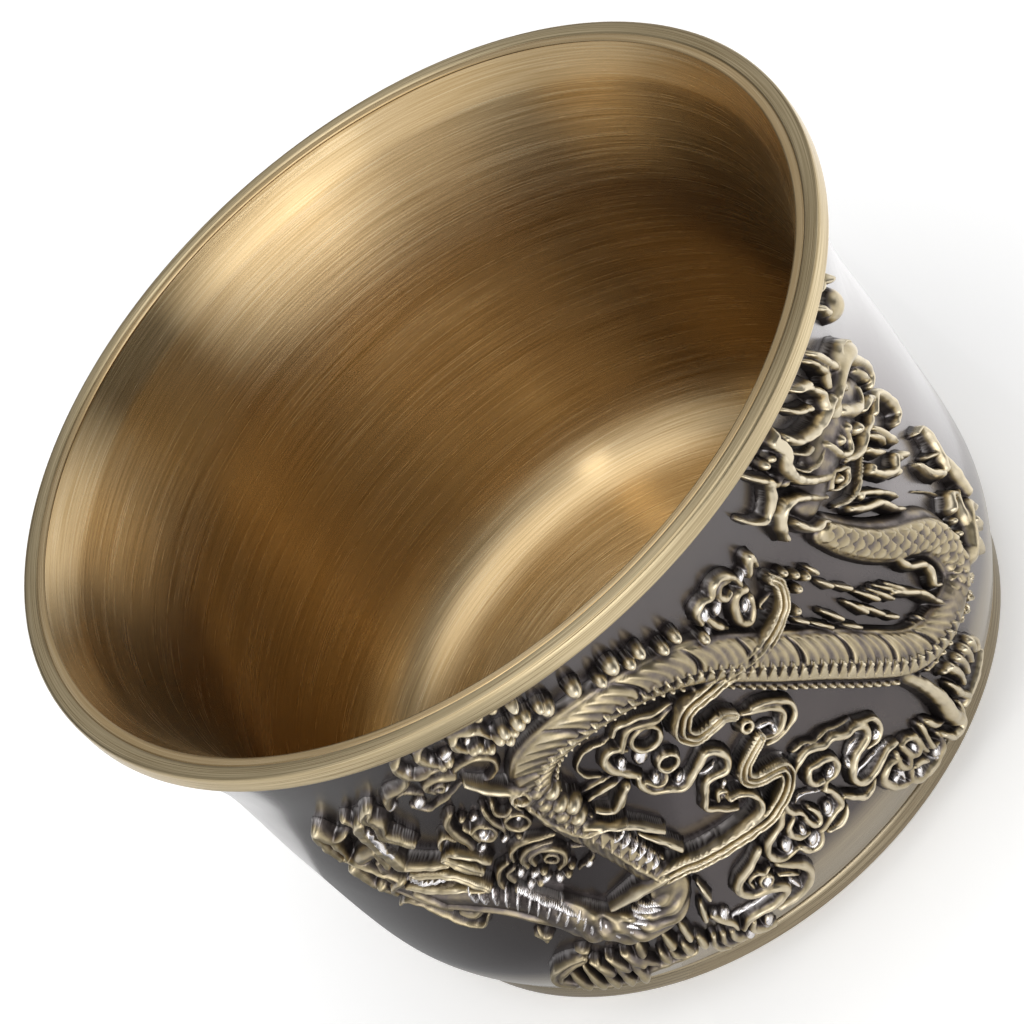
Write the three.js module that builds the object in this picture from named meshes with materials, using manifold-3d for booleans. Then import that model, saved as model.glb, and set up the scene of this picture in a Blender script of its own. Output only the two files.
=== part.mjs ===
// Bronze tea cup with dragons and clouds in high relief.
// Millimetres, +Z up. The origin is the centre of the ring that the cup stands on.
// Angles on the wall are degrees to the right of the front, which faces -Y.
// Heights on the wall are percent of the way from the foot ring to the lip.
import * as THREE from "three";
import { mergeVertices } from "three/addons/utils/BufferGeometryUtils.js";
import Module from "manifold-3d";

const wasm = await Module();
wasm.setup();

// Overall sizes
const cupHeight = 39.6;
const lipRadius = 33;
const lipHeight = 1.5;
const footRadius = 25.8;
const footHeight = 1.7;
const footWidth = 2.4;

// Outer wall: radii of the cast wall and the heights where they are reached
const grooveRadius = 25.2;
const grooveHeight = 0.5;
const heelRadius = 26.2;
const bellyRadius = 28.1;
const bellyHeight = 7.2;
const waistRadius = 28.8;
const waistHeight = 17.5;
const neckRadius = 29.3;
const neckHeight = 28.5;
const lipOverhang = 0.9;

// Walls, bowl and fits
const shellWall = 1.1;
const shellFloor = 0.9;
const linerWall = 0.6;
const bowlCorner = 6.2;
const seatClearance = 0.3;
const ringWidth = 1.15;
const lipSeam = 0.25;
const lipEdge = 0.25;
const footBead = 0.45;

// Relief castings
const reliefSeat = 0.25;
const castingGap = 0.3;
const bodyHalf = 2.1;
const bodyHigh = 1.7;
const limbHalf = 0.95;
const limbHigh = 1.4;
const clawHalf = 0.42;
const clawHigh = 1.1;
const clawReach = 2;
const strandHalf = 0.5;
const strandHigh = 1.2;
const ribbonHalf = 0.6;
const ribbonHigh = 1.2;
const curlRadius = 1.5;
const padHigh = 0.55;
const spineHalf = 0.5;
const spineHigh = 1.3;
const spineReach = 1.5;
const rockHigh = 1.5;

// Facets
const turnSteps = 48;
const pathStep = 3.2;
const curlStep = 2;
const joinTolerance = 0.05;

const mouthRadius = lipRadius - lipOverhang;
const lipUnderside = cupHeight - lipHeight;
const shellBottom = footHeight;
const wallStart = footHeight + grooveHeight;
const linerBottom = shellBottom + shellFloor + seatClearance;
const bowlFloor = linerBottom + linerWall;
const lipInside = lipRadius - ringWidth - lipSeam - linerWall;
const degree = Math.PI / 180;

const finishes = {
  liner: { color: 0x8f6f3c, metalness: 1, roughness: 0.36 },
  lip: { color: 0x9a8258, metalness: 1, roughness: 0.38 },
  wall: { color: 0x4a4341, metalness: 1, roughness: 0.34 },
  foot: { color: 0x94794a, metalness: 1, roughness: 0.34 },
  dragon: { color: 0x8b7448, metalness: 1, roughness: 0.42 },
  cloud: { color: 0x6d5c41, metalness: 1, roughness: 0.38 },
};

// The cast wall's outer curve, from the heel above the foot groove to the mouth.
const wallCurve = new THREE.SplineCurve([
  new THREE.Vector2(heelRadius, wallStart),
  new THREE.Vector2(bellyRadius, bellyHeight),
  new THREE.Vector2(waistRadius, waistHeight),
  new THREE.Vector2(neckRadius, neckHeight),
  new THREE.Vector2(mouthRadius, lipUnderside),
]);
const wallSamples = wallCurve.getPoints(160);

// Radius of the cast wall's outer face at a height.
function wallRadius(z) {
  const last = wallSamples.length - 1;
  if (z <= wallSamples[0].y) return wallSamples[0].x;
  for (let i = 1; i <= last; i++) {
    if (wallSamples[i].y >= z) {
      const a = wallSamples[i - 1];
      const b = wallSamples[i];
      return a.x + ((b.x - a.x) * (z - a.y)) / (b.y - a.y);
    }
  }
  return wallSamples[last].x;
}

// A turned piece from a closed profile of [radius, height] pairs.
function turned(profile) {
  const points = profile.map(([r, z]) => new THREE.Vector2(r, z));
  const first = points[0];
  if (first.x > 1e-6 || points.at(-1).x > 1e-6) points.push(first.clone());
  const geometry = new THREE.LatheGeometry(points, turnSteps);
  return geometry.rotateX(Math.PI / 2);
}

// The bowl's inner curve grown outwards: flat floor, round corner, then the wall up to a height.
function bowlCurve(grown, top) {
  const full = shellWall + seatClearance + linerWall;
  const centreZ = bowlFloor + bowlCorner;
  const centreR = wallRadius(centreZ) - full - bowlCorner;
  const radius = bowlCorner + grown;
  const points = [[0, bowlFloor - grown]];
  for (let k = 0; k <= 3; k++) {
    const a = (k / 3) * (Math.PI / 2);
    points.push([centreR + radius * Math.sin(a), centreZ - radius * Math.cos(a)]);
  }
  const rings = 3;
  for (let k = 1; k <= rings; k++) {
    const z = centreZ + ((top - centreZ) * k) / rings;
    points.push([wallRadius(z) - full + grown, z]);
  }
  return points;
}

function makeOuterShell() {
  const inside = bowlCurve(linerWall + seatClearance, lipUnderside);
  const outside = [];
  const rings = 7;
  for (let k = 0; k <= rings; k++) {
    const z = wallStart + ((lipUnderside - wallStart) * k) / rings;
    outside.push([wallRadius(z), z]);
  }
  return turned([
    [0, shellBottom],
    [grooveRadius, shellBottom],
    [grooveRadius, wallStart],
    ...outside,
    ...inside.reverse(),
  ]);
}

function makeInnerLiner() {
  const brim = cupHeight - lipEdge;
  const inside = bowlCurve(0, lipUnderside);
  const outside = bowlCurve(linerWall, lipUnderside);
  return turned([
    ...outside,
    [lipInside + linerWall, brim],
    [lipInside + linerWall / 2, brim + lipEdge / 2],
    [lipInside, brim],
    ...inside.reverse(),
  ]);
}

// The ring lies on the shell's edge, round the liner's flared brim.
function makeRimRing() {
  const topInner = lipRadius - ringWidth;
  const bottomInner = wallRadius(lipUnderside) - shellWall - seatClearance + lipSeam;
  return turned([
    [bottomInner, lipUnderside],
    [lipRadius - lipEdge, lipUnderside],
    [lipRadius, lipUnderside + lipEdge],
    [lipRadius, cupHeight - lipEdge],
    [lipRadius - lipEdge, cupHeight],
    [topInner + lipEdge / 2, cupHeight],
    [topInner, cupHeight - lipEdge],
  ]);
}

function makeFootRing() {
  const inner = footRadius - footWidth;
  return turned([
    [inner, footBead / 2],
    [inner + footBead / 2, 0],
    [footRadius - footBead, 0],
    [footRadius, footBead],
    [footRadius, footHeight - footBead],
    [footRadius - footBead, footHeight],
    [inner, footHeight],
  ]);
}

// A geometry as a solid that can be joined and cut.
function toSolid(geometry) {
  const bare = geometry.clone();
  bare.deleteAttribute("normal");
  bare.deleteAttribute("uv");
  const merged = mergeVertices(bare, 1e-4);
  return new wasm.Manifold(
    new wasm.Mesh({
      numProp: 3,
      vertProperties: merged.attributes.position.array,
      triVerts: new Uint32Array(merged.index.array),
    }),
  );
}

// A solid as a mesh, with slivers left by the joins smoothed away.
function toGeometry(solid) {
  const mesh = largest(solid.simplify(joinTolerance)).getMesh();
  const geometry = new THREE.BufferGeometry();
  const position = new THREE.BufferAttribute(mesh.vertProperties, 3);
  geometry.setAttribute("position", position);
  geometry.setIndex(new THREE.BufferAttribute(mesh.triVerts, 1));
  geometry.computeVertexNormals();
  return geometry;
}

// A wall position: along is the distance round the waist, up the height.
function place(angle, percent) {
  const up = wallStart + (percent / 100) * (lipUnderside - wallStart);
  return new THREE.Vector2(angle * degree * waistRadius, up);
}

// A point in space over a wall position, a height proud of the relief's seat.
function onWall(along, up, proud) {
  const lowest = wallStart + lipEdge;
  const highest = lipUnderside - seatClearance;
  const z = Math.min(Math.max(up, lowest), highest);
  const radius = wallRadius(z) + reliefSeat + proud;
  const turn = along / waistRadius;
  return [radius * Math.sin(turn), -radius * Math.cos(turn), z];
}

// A closed surface from rings of points, each ring with as many points, capped at both ends.
function loft(rings) {
  const size = rings[0].length;
  const positions = rings.flat(2);
  const index = [];
  for (let i = 0; i + 1 < rings.length; i++) {
    for (let k = 0; k < size; k++) {
      const a = i * size + k;
      const b = i * size + ((k + 1) % size);
      index.push(a, a + size, b, b, a + size, b + size);
    }
  }
  const last = (rings.length - 1) * size;
  for (let k = 1; k + 1 < size; k++) {
    index.push(0, k, k + 1);
    index.push(last, last + k + 1, last + k);
  }
  const geometry = new THREE.BufferGeometry();
  geometry.setAttribute("position", new THREE.Float32BufferAttribute(positions, 3));
  geometry.setIndex(index);
  return geometry;
}

const loaf = [
  [-1, 0],
  [-0.75, 0.7],
  [0, 1],
  [0.75, 0.7],
  [1, 0],
];
const ridge = [
  [-1, 0],
  [-0.45, 1],
  [0.45, 1],
  [1, 0],
];

// A strip cast on the wall along a smooth path: half width and height are functions of 0 to 1.
function strip(curve, half, high, section, step, grown) {
  const length = curve.getLength();
  const count = Math.max(1, Math.round(length / step));
  const rings = [];
  for (let i = 0; i <= count; i++) {
    const t = i / count;
    const at = curve.getPointAt(t);
    const along = curve.getTangentAt(t);
    const side = new THREE.Vector2(-along.y, along.x);
    const end = i === 0 ? -grown : i === count ? grown : 0;
    const w = half(t) + grown;
    const h = high(t) + grown;
    rings.push(
      section.map(([s, up]) => {
        const x = at.x + side.x * s * w + along.x * end;
        const y = at.y + side.y * s * w + along.y * end;
        return onWall(x, y, up * h - (grown > 0 && up === 0 ? castingGap : 0));
      }),
    );
  }
  return toSolid(loft(rings));
}

function pathOf(points) {
  return new THREE.SplineCurve(points.map(([angle, percent]) => place(angle, percent)));
}

// Widest in the middle, narrow at both ends.
function lens(size, ends) {
  return (t) => size * (ends + (1 - ends) * Math.sin(Math.PI * Math.min(Math.max(t, 0), 1)));
}

// Full at the start, narrowing to a tip.
function taper(size, tip) {
  return (t) => size * (1 - (1 - tip) * t);
}

function even(size) {
  return () => size;
}

// A curl round a centre: a spiral that winds in, its turns counted from a start angle.
function curl(centre, size, turns, start, grown) {
  const outer = curlRadius * size;
  const inner = ribbonHalf * 1.35;
  const count = Math.max(5, Math.round(Math.abs(turns) * 7));
  const points = [];
  for (let i = 0; i <= count; i++) {
    const t = i / count;
    const radius = outer + (inner - outer) * t * t;
    points.push(away(centre, radius, start * degree + turns * 2 * Math.PI * t));
  }
  const curve = new THREE.SplineCurve(points);
  return strip(curve, taper(ribbonHalf, 0.8), even(ribbonHigh), ridge, curlStep, grown);
}

// A low scalloped pad that carries the curls of one cloud.
function pad(centre, size, lobes, grown) {
  const count = lobes * 2;
  const ring = (share, proud) => {
    const points = [];
    for (let i = 0; i < count; i++) {
      const a = (i / count) * 2 * Math.PI;
      const scallop = i % 2 === 0 ? 0.86 : 1;
      const at = away(centre, curlRadius * size * scallop * share + grown, a);
      points.push(onWall(at.x, at.y, proud));
    }
    return points;
  };
  return toSolid(loft([ring(0.88, padHigh + grown), ring(1, grown > 0 ? -castingGap : 0)]));
}

function joined(solids) {
  return wasm.Manifold.union(solids);
}

// The largest single body of a solid.
function largest(solid) {
  const bodies = solid.decompose();
  return bodies.reduce((best, body) => (body.volume() > best.volume() ? body : best));
}

// The dragon's spine from the neck, down and round, over the arch and through the low loop.
const bodyPath = [
  [28.5, 70],
  [33.5, 54.5],
  [38.8, 45.5],
  [43.4, 36],
  [43.4, 26.5],
  [39, 22.2],
  [32.5, 23.5],
  [26, 29.5],
  [19.5, 40.5],
  [12, 55],
  [6.5, 67.5],
  [0, 76],
  [-9, 81.3],
  [-17, 81],
  [-22.8, 75.5],
  [-25, 66],
  [-23.8, 57],
  [-21, 47],
  [-19.6, 36],
  [-20.4, 26.5],
  [-26, 21.5],
  [-31.5, 25],
  [-36.2, 34],
  [-42, 42.5],
  [-49, 44],
];

function bodyHalfAt(t) {
  const swell = 1 - 0.32 * Math.pow(Math.abs(2 * t - 0.75), 1.4);
  return bodyHalf * Math.max(0.5, swell);
}

function bodySolid(grown) {
  return strip(pathOf(bodyPath), bodyHalfAt, even(bodyHigh), loaf, pathStep, grown);
}

// Drop shaped spines that stand in a row on one side of the body.
function spineRow(from, to, count, side, grown) {
  const curve = pathOf(bodyPath);
  const solids = [];
  for (let i = 0; i < count; i++) {
    const t = from + ((to - from) * i) / (count - 1);
    const at = curve.getPointAt(t);
    const along = curve.getTangentAt(t);
    const out = new THREE.Vector2(-along.y, along.x).multiplyScalar(side);
    const root = bodyHalfAt(t) - spineHalf;
    const tip = bodyHalfAt(t) + spineReach;
    const start = at.clone().addScaledVector(out, root);
    const end = at.clone().addScaledVector(out, tip);
    const spine = new THREE.LineCurve(start, end);
    const length = spine.getLength();
    solids.push(strip(spine, taper(spineHalf, 0.3), taper(spineHigh, 0.5), ridge, length, grown));
  }
  return solids;
}

// A point a length away from another, in a direction given in radians.
function away(from, length, direction) {
  const step = new THREE.Vector2(Math.cos(direction), Math.sin(direction));
  return from.clone().addScaledVector(step, length);
}

// Talons spread like a fan from the end of a limb, each bent half a radian.
function talons(angle, percent, heading, count, size, grown) {
  const root = place(angle, percent);
  const reach = clawReach * size;
  const solids = [];
  for (let i = 0; i < count; i++) {
    const a = (heading + (i - (count - 1) / 2) * 38) * degree;
    const mid = away(root, reach * 0.6, a);
    const tip = away(mid, reach * 0.5, a + 0.5);
    const curve = new THREE.SplineCurve([root, mid, tip]);
    solids.push(strip(curve, taper(clawHalf, 0.4), taper(clawHigh, 0.5), ridge, reach * 0.55, grown));
  }
  return solids;
}

function limb(points, size, grown) {
  const half = (t) => limbHalf * size * (1.25 - 0.6 * t);
  return strip(pathOf(points), half, even(limbHigh), ridge, pathStep, grown);
}

function strand(points, size, grown) {
  const half = taper(strandHalf * size, 0.45);
  return strip(pathOf(points), half, taper(strandHigh, 0.7), ridge, pathStep, grown);
}

// A cloud streamer that crosses over the dragon's body, thin at both ends.
function streamer(points, grown) {
  const high = bodyHigh + strandHalf;
  return strip(pathOf(points), lens(ribbonHalf * 1.25, 0.55), even(high), ridge, curlStep, grown);
}

function dragonParts(grown) {
  const hook = [[18.6, 71], [18.9, 66], [15, 62.6], [8, 62.4], [0, 64.4], [-3.8, 62], [-4.2, 57], [-1, 55]];
  const stem = [[-29, 30], [-24, 32], [-17, 32], [-9, 30.6], [-4.6, 31.6]];
  return [
    bodySolid(grown),
    streamer(hook, grown),
    streamer(stem, grown),
    ...spineRow(0.43, 0.58, 8, -1, grown),
    ...spineRow(0.08, 0.2, 5, -1, grown),
    limb([[-23, 56], [-19, 50.5], [-15.8, 44]], 0.8, grown),
    ...talons(-15.8, 44, -20, 3, 1, grown),
    limb([[-39, 42], [-43.5, 56], [-49.6, 57], [-50.2, 70]], 0.9, grown),
    ...talons(-50.2, 70, 75, 3, 1.05, grown),
    limb([[26.5, 29], [28, 18], [30.2, 6]], 0.85, grown),
    limb([[44, 27], [49.5, 21], [55.5, 20.5], [57.2, 32]], 0.9, grown),
    ...talons(57.2, 32, 80, 3, 1.2, grown),
  ];
}

function headParts(grown) {
  const brow = [[30.5, 80], [37, 80.5], [44, 75], [51, 70.5]];
  const jaw = [[36, 71.5], [42, 64.5], [49, 60], [54, 60.5]];
  const skull = (t) => {
    const cheek = Math.sin(Math.PI * Math.min(1, t * 1.5));
    return bodyHalf * (0.85 + 0.35 * cheek - 0.35 * t);
  };
  return [
    strip(pathOf(brow), skull, taper(bodyHigh * 1.3, 0.8), loaf, pathStep, grown),
    strip(pathOf(jaw), taper(limbHalf * 1.2, 0.6), even(limbHigh), ridge, pathStep, grown),
    strand([[40, 81], [34.5, 88], [31.2, 96]], 1.2, grown),
    strand([[44.5, 79], [41.2, 88], [37.8, 96]], 1.2, grown),
    strand([[37, 69], [39, 60], [42.2, 52]], 1.3, grown),
    strand([[46.5, 61], [49.5, 53], [52.6, 51]], 1.2, grown),
    strand([[50.5, 73], [56, 76], [59.6, 70]], 1.1, grown),
    strand([[33, 80], [27.6, 84.5], [22.8, 83]], 1.1, grown),
  ];
}

function tailParts(grown) {
  const stem = [[-50.6, 44], [-55.5, 47.5], [-58.6, 53]];
  const upper = [[-56.5, 52], [-61.5, 58.5], [-64.5, 67]];
  const lower = [[-56.5, 51], [-60.8, 49.5], [-63, 43.5]];
  const inner = [[-55.5, 51], [-56.5, 60], [-53.5, 65]];
  const leaf = (points) =>
    strip(pathOf(points), lens(limbHalf * 1.4, 0.3), even(limbHigh), ridge, pathStep, grown);
  return [
    strip(pathOf(stem), taper(bodyHalf * 0.55, 0.7), even(limbHigh), loaf, pathStep, grown),
    leaf(upper),
    leaf(lower),
    leaf(inner),
  ];
}

// Clouds: where each lies on the wall, and round that, in shares of a curl's radius, its
// pads [right, up, size, lobes], curls [right, up, size, turns, start] and trailing ribbons.
const clouds = {
  cloud_centre: {
    at: [-8.6, 65],
    pads: [[0, 0, 2.07, 5]],
    curls: [[-1, 0, 1, -0.9, 60], [0.47, 0.48, 1.07, 0.9, 180], [0.13, -1.68, 0.8, 0.9, 100]],
    ribbons: [
      [[-0.47, -2.15], [0.03, -3.1], [1.04, -3.2], [1.47, -3.8], [0.2, -4.6], [0.07, -6], [1.14, -6.7]],
    ],
  },
  cloud_left: {
    at: [-31.5, 51],
    pads: [[0, 0, 2, 6], [0.1, 3.35, 1.67, 5]],
    curls: [[-0.5, 0.24, 1, 0.9, 20], [0.64, -0.12, 1.07, -0.9, 160], [0.03, 3.47, 1.07, 0.9, 200]],
    ribbons: [[[0.07, 2.4], [0, 1.56], [0, 0.72]]],
  },
  cloud_high: {
    at: [-29, 90],
    pads: [[0, 0, 1.53, 5], [-1.68, -1.68, 1.4, 5]],
    curls: [[-1.44, 0.24, 1, -0.85, 330], [0.13, 0.24, 1, -0.85, 330], [-1.74, -1.8, 0.93, 0.9, 300]],
    ribbons: [[[-3.95, -1.9], [-3, -0.84], [-1.88, -0.72], [-0.67, -0.48]]],
  },
  cloud_right: {
    at: [14.3, 80],
    pads: [[0, 0, 1.47, 5]],
    curls: [[-0.57, 0.48, 0.93, 0.9, 260], [0.77, 0.12, 0.8, -0.9, 200]],
    ribbons: [],
  },
  cloud_whisker: {
    at: [4.6, 48],
    pads: [[0, 0, 1.53, 5]],
    curls: [[-0.54, 0, 0.87, 0.9, 0], [0.54, 0.24, 0.93, -0.9, 180]],
    ribbons: [[[-0.37, -0.72], [-1.54, -1.3], [-2.08, -2], [-1, -2.6]]],
  },
  cloud_low: {
    at: [2.2, 24],
    pads: [[0, 0, 2.07, 6]],
    curls: [[-1.14, 0.12, 1.07, 0.9, 90], [0.07, -0.12, 1, -0.9, 270], [1.27, 1.48, 1.07, 0.9, 200]],
    ribbons: [
      [[0.6, 1.2], [1.44, 2.54], [2.78, 1.9], [3.95, 1], [4.16, 0.34]],
      [[4.1, 0.36], [2.95, 0.14], [2.4, -0.53], [3.75, -1.05], [5.16, -1.4]],
    ],
  },
  cloud_foot: {
    at: [-10.2, 17.5],
    pads: [[0, 0.15, 1.53, 5]],
    curls: [[-0.45, 0.5, 0.93, 0.9, 30], [1.3, -0.95, 0.93, -0.9, 120]],
    ribbons: [[[0.3, -0.9], [0.25, -1.85], [-0.9, -2], [-2.1, -1.5], [-2.9, -2.1], [-2.75, -2.85]]],
  },
  cloud_heel: {
    at: [19, 9.5],
    pads: [[0, 0, 1.67, 5]],
    curls: [[-0.67, 0.69, 0.87, 0.9, 120], [0.54, -0.22, 1, -0.9, 40]],
    ribbons: [],
  },
};

function cloudParts(cloud, grown) {
  const centre = place(...cloud.at);
  const beside = ([right, up]) =>
    new THREE.Vector2(centre.x + right * curlRadius, centre.y + up * curlRadius);
  const trail = (points) => {
    const curve = new THREE.SplineCurve(points.map(beside));
    return strip(curve, lens(ribbonHalf, 0.6), even(ribbonHigh), ridge, curlStep * 1.5, grown);
  };
  return [
    ...cloud.pads.map(([right, up, size, lobes]) => pad(beside([right, up]), size, lobes, grown)),
    ...cloud.curls.map(([right, up, ...shape]) => curl(beside([right, up]), ...shape, grown)),
    ...cloud.ribbons.map(trail),
  ];
}

// Water thrown up against rocks round the foot: leaning crests on a low bank.
function waterParts(from, to, crests, top) {
  const solids = [];
  const middle = (from + to) / 2;
  const bank = [[from, 4.4], [middle, 5.2], [to, 4.4]];
  solids.push(strip(pathOf(bank), even(limbHalf), even(rockHigh), ridge, pathStep, 0));
  for (let i = 0; i < crests; i++) {
    const share = (i + 0.5) / crests;
    const angle = from + (to - from) * share;
    const tall = top * (0.72 + 0.28 * Math.sin(Math.PI * share));
    const lean = 3.2;
    const points = [[angle, 5], [angle + lean * 0.3, tall * 0.62], [angle + lean, tall]];
    const half = taper(limbHalf, 0.5);
    solids.push(strip(pathOf(points), half, taper(rockHigh, 0.75), ridge, pathStep, 0));
  }
  return solids;
}

function meshOf(name, geometry, finish) {
  const material = new THREE.MeshStandardMaterial(finish);
  const mesh = new THREE.Mesh(geometry, material);
  mesh.name = name;
  return mesh;
}

// One side's castings, cut clear of each other so that each seats by itself.
function reliefCastings() {
  const dragon = largest(joined(dragonParts(0)));
  const keepDragon = joined(dragonParts(castingGap));
  const head = largest(joined(headParts(0)).subtract(keepDragon));
  const keepHead = joined(headParts(castingGap));
  const tail = largest(joined(tailParts(0)).subtract(keepDragon));
  const keepTail = joined(tailParts(castingGap));
  let keep = joined([keepDragon, keepHead, keepTail]);
  const castings = [
    ["dragon_body", dragon, finishes.dragon],
    ["dragon_head", head, finishes.dragon],
    ["dragon_tail", tail, finishes.dragon],
  ];
  for (const [name, cloud] of Object.entries(clouds)) {
    castings.push([name, largest(joined(cloudParts(cloud, 0)).subtract(keep)), finishes.cloud]);
    keep = keep.add(joined(cloudParts(cloud, castingGap)));
  }
  const waterLeft = joined(waterParts(-48, -25, 5, 17));
  castings.push(["water_left", largest(waterLeft.subtract(keep)), finishes.cloud]);
  const waterRight = joined(waterParts(33, 41, 2, 15));
  castings.push(["water_right", largest(waterRight.subtract(keep)), finishes.cloud]);
  return castings;
}

const cup = new THREE.Group();
cup.add(meshOf("outer_shell", makeOuterShell(), finishes.wall));
cup.add(meshOf("inner_liner", makeInnerLiner(), finishes.liner));
cup.add(meshOf("rim_ring", makeRimRing(), finishes.lip));
cup.add(meshOf("foot_ring", makeFootRing(), finishes.foot));

const front = new THREE.Group();
const back = new THREE.Group();
back.rotation.z = Math.PI;
for (const [name, solid, finish] of reliefCastings()) {
  const geometry = toGeometry(solid);
  front.add(meshOf("front_" + name, geometry, finish));
  back.add(meshOf("back_" + name, geometry.clone(), finish));
}
cup.add(front, back);

export default cup;
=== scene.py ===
"""Dresses the bronze tea cup for a studio picture.

The cup has a brushed bowl, a turned lip and foot ring, a dark cast wall, and on each
side a dragon among clouds in high relief. Lengths are millimetres until a mesh is made.
Places on the wall are degrees to the right of the front, which faces -Y, and heights
above the table.
"""

import logging
import math
from dataclasses import dataclass, field
from enum import Enum
from typing import Protocol, Sequence

import bpy
import numpy as np
from mathutils import Matrix, Vector


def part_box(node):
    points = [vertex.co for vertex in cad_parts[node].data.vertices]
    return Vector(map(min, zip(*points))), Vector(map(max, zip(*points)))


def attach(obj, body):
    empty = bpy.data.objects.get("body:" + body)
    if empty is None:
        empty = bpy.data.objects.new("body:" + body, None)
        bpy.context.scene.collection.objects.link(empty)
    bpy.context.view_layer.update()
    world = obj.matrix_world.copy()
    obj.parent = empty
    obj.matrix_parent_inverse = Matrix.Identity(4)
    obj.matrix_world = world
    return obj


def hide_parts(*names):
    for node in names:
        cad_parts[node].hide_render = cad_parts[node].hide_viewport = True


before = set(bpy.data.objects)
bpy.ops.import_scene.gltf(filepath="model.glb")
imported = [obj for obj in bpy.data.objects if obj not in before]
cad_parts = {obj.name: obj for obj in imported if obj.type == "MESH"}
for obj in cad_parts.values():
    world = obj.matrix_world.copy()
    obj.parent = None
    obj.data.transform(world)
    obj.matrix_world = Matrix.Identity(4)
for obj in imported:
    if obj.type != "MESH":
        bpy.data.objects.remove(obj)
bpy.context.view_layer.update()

log = logging.getLogger("tea_cup")

Array = np.ndarray
Point = tuple[float, float]
Colour = tuple[float, float, float]
Socket = bpy.types.NodeSocket

# A millimetre in metres. The wall's radius at its waist, and the heights of its lower and
# upper edge. Where the camera stands, and the spacing of the points of a smooth path.
MM = 0.001
WAIST = 28.8
FOOT_TOP = 2.2
LIP_UNDERSIDE = 38.1
CAMERA_AT = (-0.5476, -268.4436, 231.9187)
PATH_STEP = 0.1


def ramped(value: Array, start: float | Array, over: float) -> Array:
    """Grows evenly from 0 at the start to 1 over a width; a width below 0 lies before the start."""
    return np.clip((value - start) / over, 0, 1)


@dataclass(frozen=True)
class WallProfile:
    """The cast wall's outer curve: a smooth curve through named rings."""

    rings: tuple[Point, ...] = (
        (26.2, FOOT_TOP),
        (28.1, 7.2),
        (WAIST, 17.5),
        (29.3, 28.5),
        (32.1, LIP_UNDERSIDE),
    )

    def samples(self, count: int = 400) -> tuple[Array, Array]:
        """Radii and heights along the curve.

        A cubic between each two rings, whose slope at a ring is half the step from the
        ring before it to the ring after it.

        Args:
            count: number of samples.

        Returns:
            The radii and the heights, each an array of that length.
        """
        rings = np.array(self.rings)
        padded = np.vstack([rings[:1], rings, rings[-1:]])
        place = np.linspace(0, len(rings) - 1, count)
        k = np.minimum(place.astype(int), len(rings) - 2)
        t = (place - k)[:, None]
        before, here, there, after = (padded[k + i] for i in range(4))
        v0 = (there - before) / 2
        v1 = (after - here) / 2
        cubic = (
            (2 * here - 2 * there + v0 + v1) * t**3
            + (-3 * here + 3 * there - 2 * v0 - v1) * t**2
            + v0 * t
            + here
        )
        return cubic[:, 0], cubic[:, 1]

    def radius(self, height: Array | float) -> Array:
        """The wall's outer radius at each height."""
        radii, heights = self.samples()
        return np.interp(height, heights, radii)


@dataclass(frozen=True)
class Sight:
    """Where something lies that was read off the photograph as if it lay on the wall.

    What stands proud of the wall hides the wall behind it, so its true place is nearer
    the camera than the place where it is seen.
    """

    wall: WallProfile
    eye: tuple[float, float, float] = CAMERA_AT
    rounds: int = 6
    probe: float = 0.1
    least_growth: float = 0.25
    below_lip: float = 0.3

    def place(self, points: Sequence[Sequence[float]], proud: float) -> Array:
        """Moves places towards the camera until they stand proud of the wall.

        Each step divides the missing height by how fast the height grows along the
        line to the camera.

        Args:
            points: rows of degrees and height, and any further columns.
            proud: height above the wall in mm.

        Returns:
            Rows of mm along the waist and mm up, and the same further columns.
        """
        rows = np.array(points, float)
        turn = np.radians(rows[:, 0])
        radius = self.wall.radius(rows[:, 1])
        start = np.stack([radius * np.sin(turn), -radius * np.cos(turn), rows[:, 1]], 1)
        line = np.array(self.eye) - start
        line /= np.linalg.norm(line, axis=1)[:, None]
        far = np.zeros(len(rows))
        for _ in range(self.rounds):
            here = start + far[:, None] * line
            across = np.hypot(here[:, 0], here[:, 1])
            over, under = (self.wall.radius(here[:, 2] + way * self.probe) for way in (1, -1))
            lean = (over - under) / (2 * self.probe)
            growth = (here[:, :2] * line[:, :2]).sum(1) / across - lean * line[:, 2]
            missing = proud + self.wall.radius(here[:, 2]) - across
            far += missing / np.maximum(growth, self.least_growth)
        here = start + far[:, None] * line
        rows[:, 0] = np.arctan2(here[:, 0], -here[:, 1]) * WAIST
        rows[:, 1] = np.minimum(here[:, 2], LIP_UNDERSIDE - self.below_lip)
        return rows


class Form(Enum):
    """How a stroke of relief is shaped across its width."""

    ROUND = "half round"
    FLAT = "flat top with rounded edges"
    GROOVED = "flat top with a groove along the middle"
    REEDED = "three fine ridges side by side"


def across(form: Form, side: Array) -> Array:
    """Height of a form, 0 to 1, at a place across it.

    Half round is one less the squared distance, to a power under one. The flat top
    takes the sixth power of the distance instead. The groove is a bell curve cut out
    of the flat top, which leaves a rim on each side, and the reeds are a cosine on it.

    Args:
        form: the shape across.
        side: distance from the middle line as a share of the half width, with a sign.

    Returns:
        The height as a share of the stroke's height.
    """
    share = np.clip(np.abs(side), 0, 1)
    if form is Form.ROUND:
        return (1 - share**2) ** 0.55
    flat = (1 - share**6) ** 0.8
    if form is Form.GROOVED:
        return flat * (1 - 0.2 * np.exp(-((side / 0.25) ** 2)))
    if form is Form.REEDED:
        return flat * (0.8 + 0.2 * np.cos(side * 3 * math.pi))
    return flat


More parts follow.
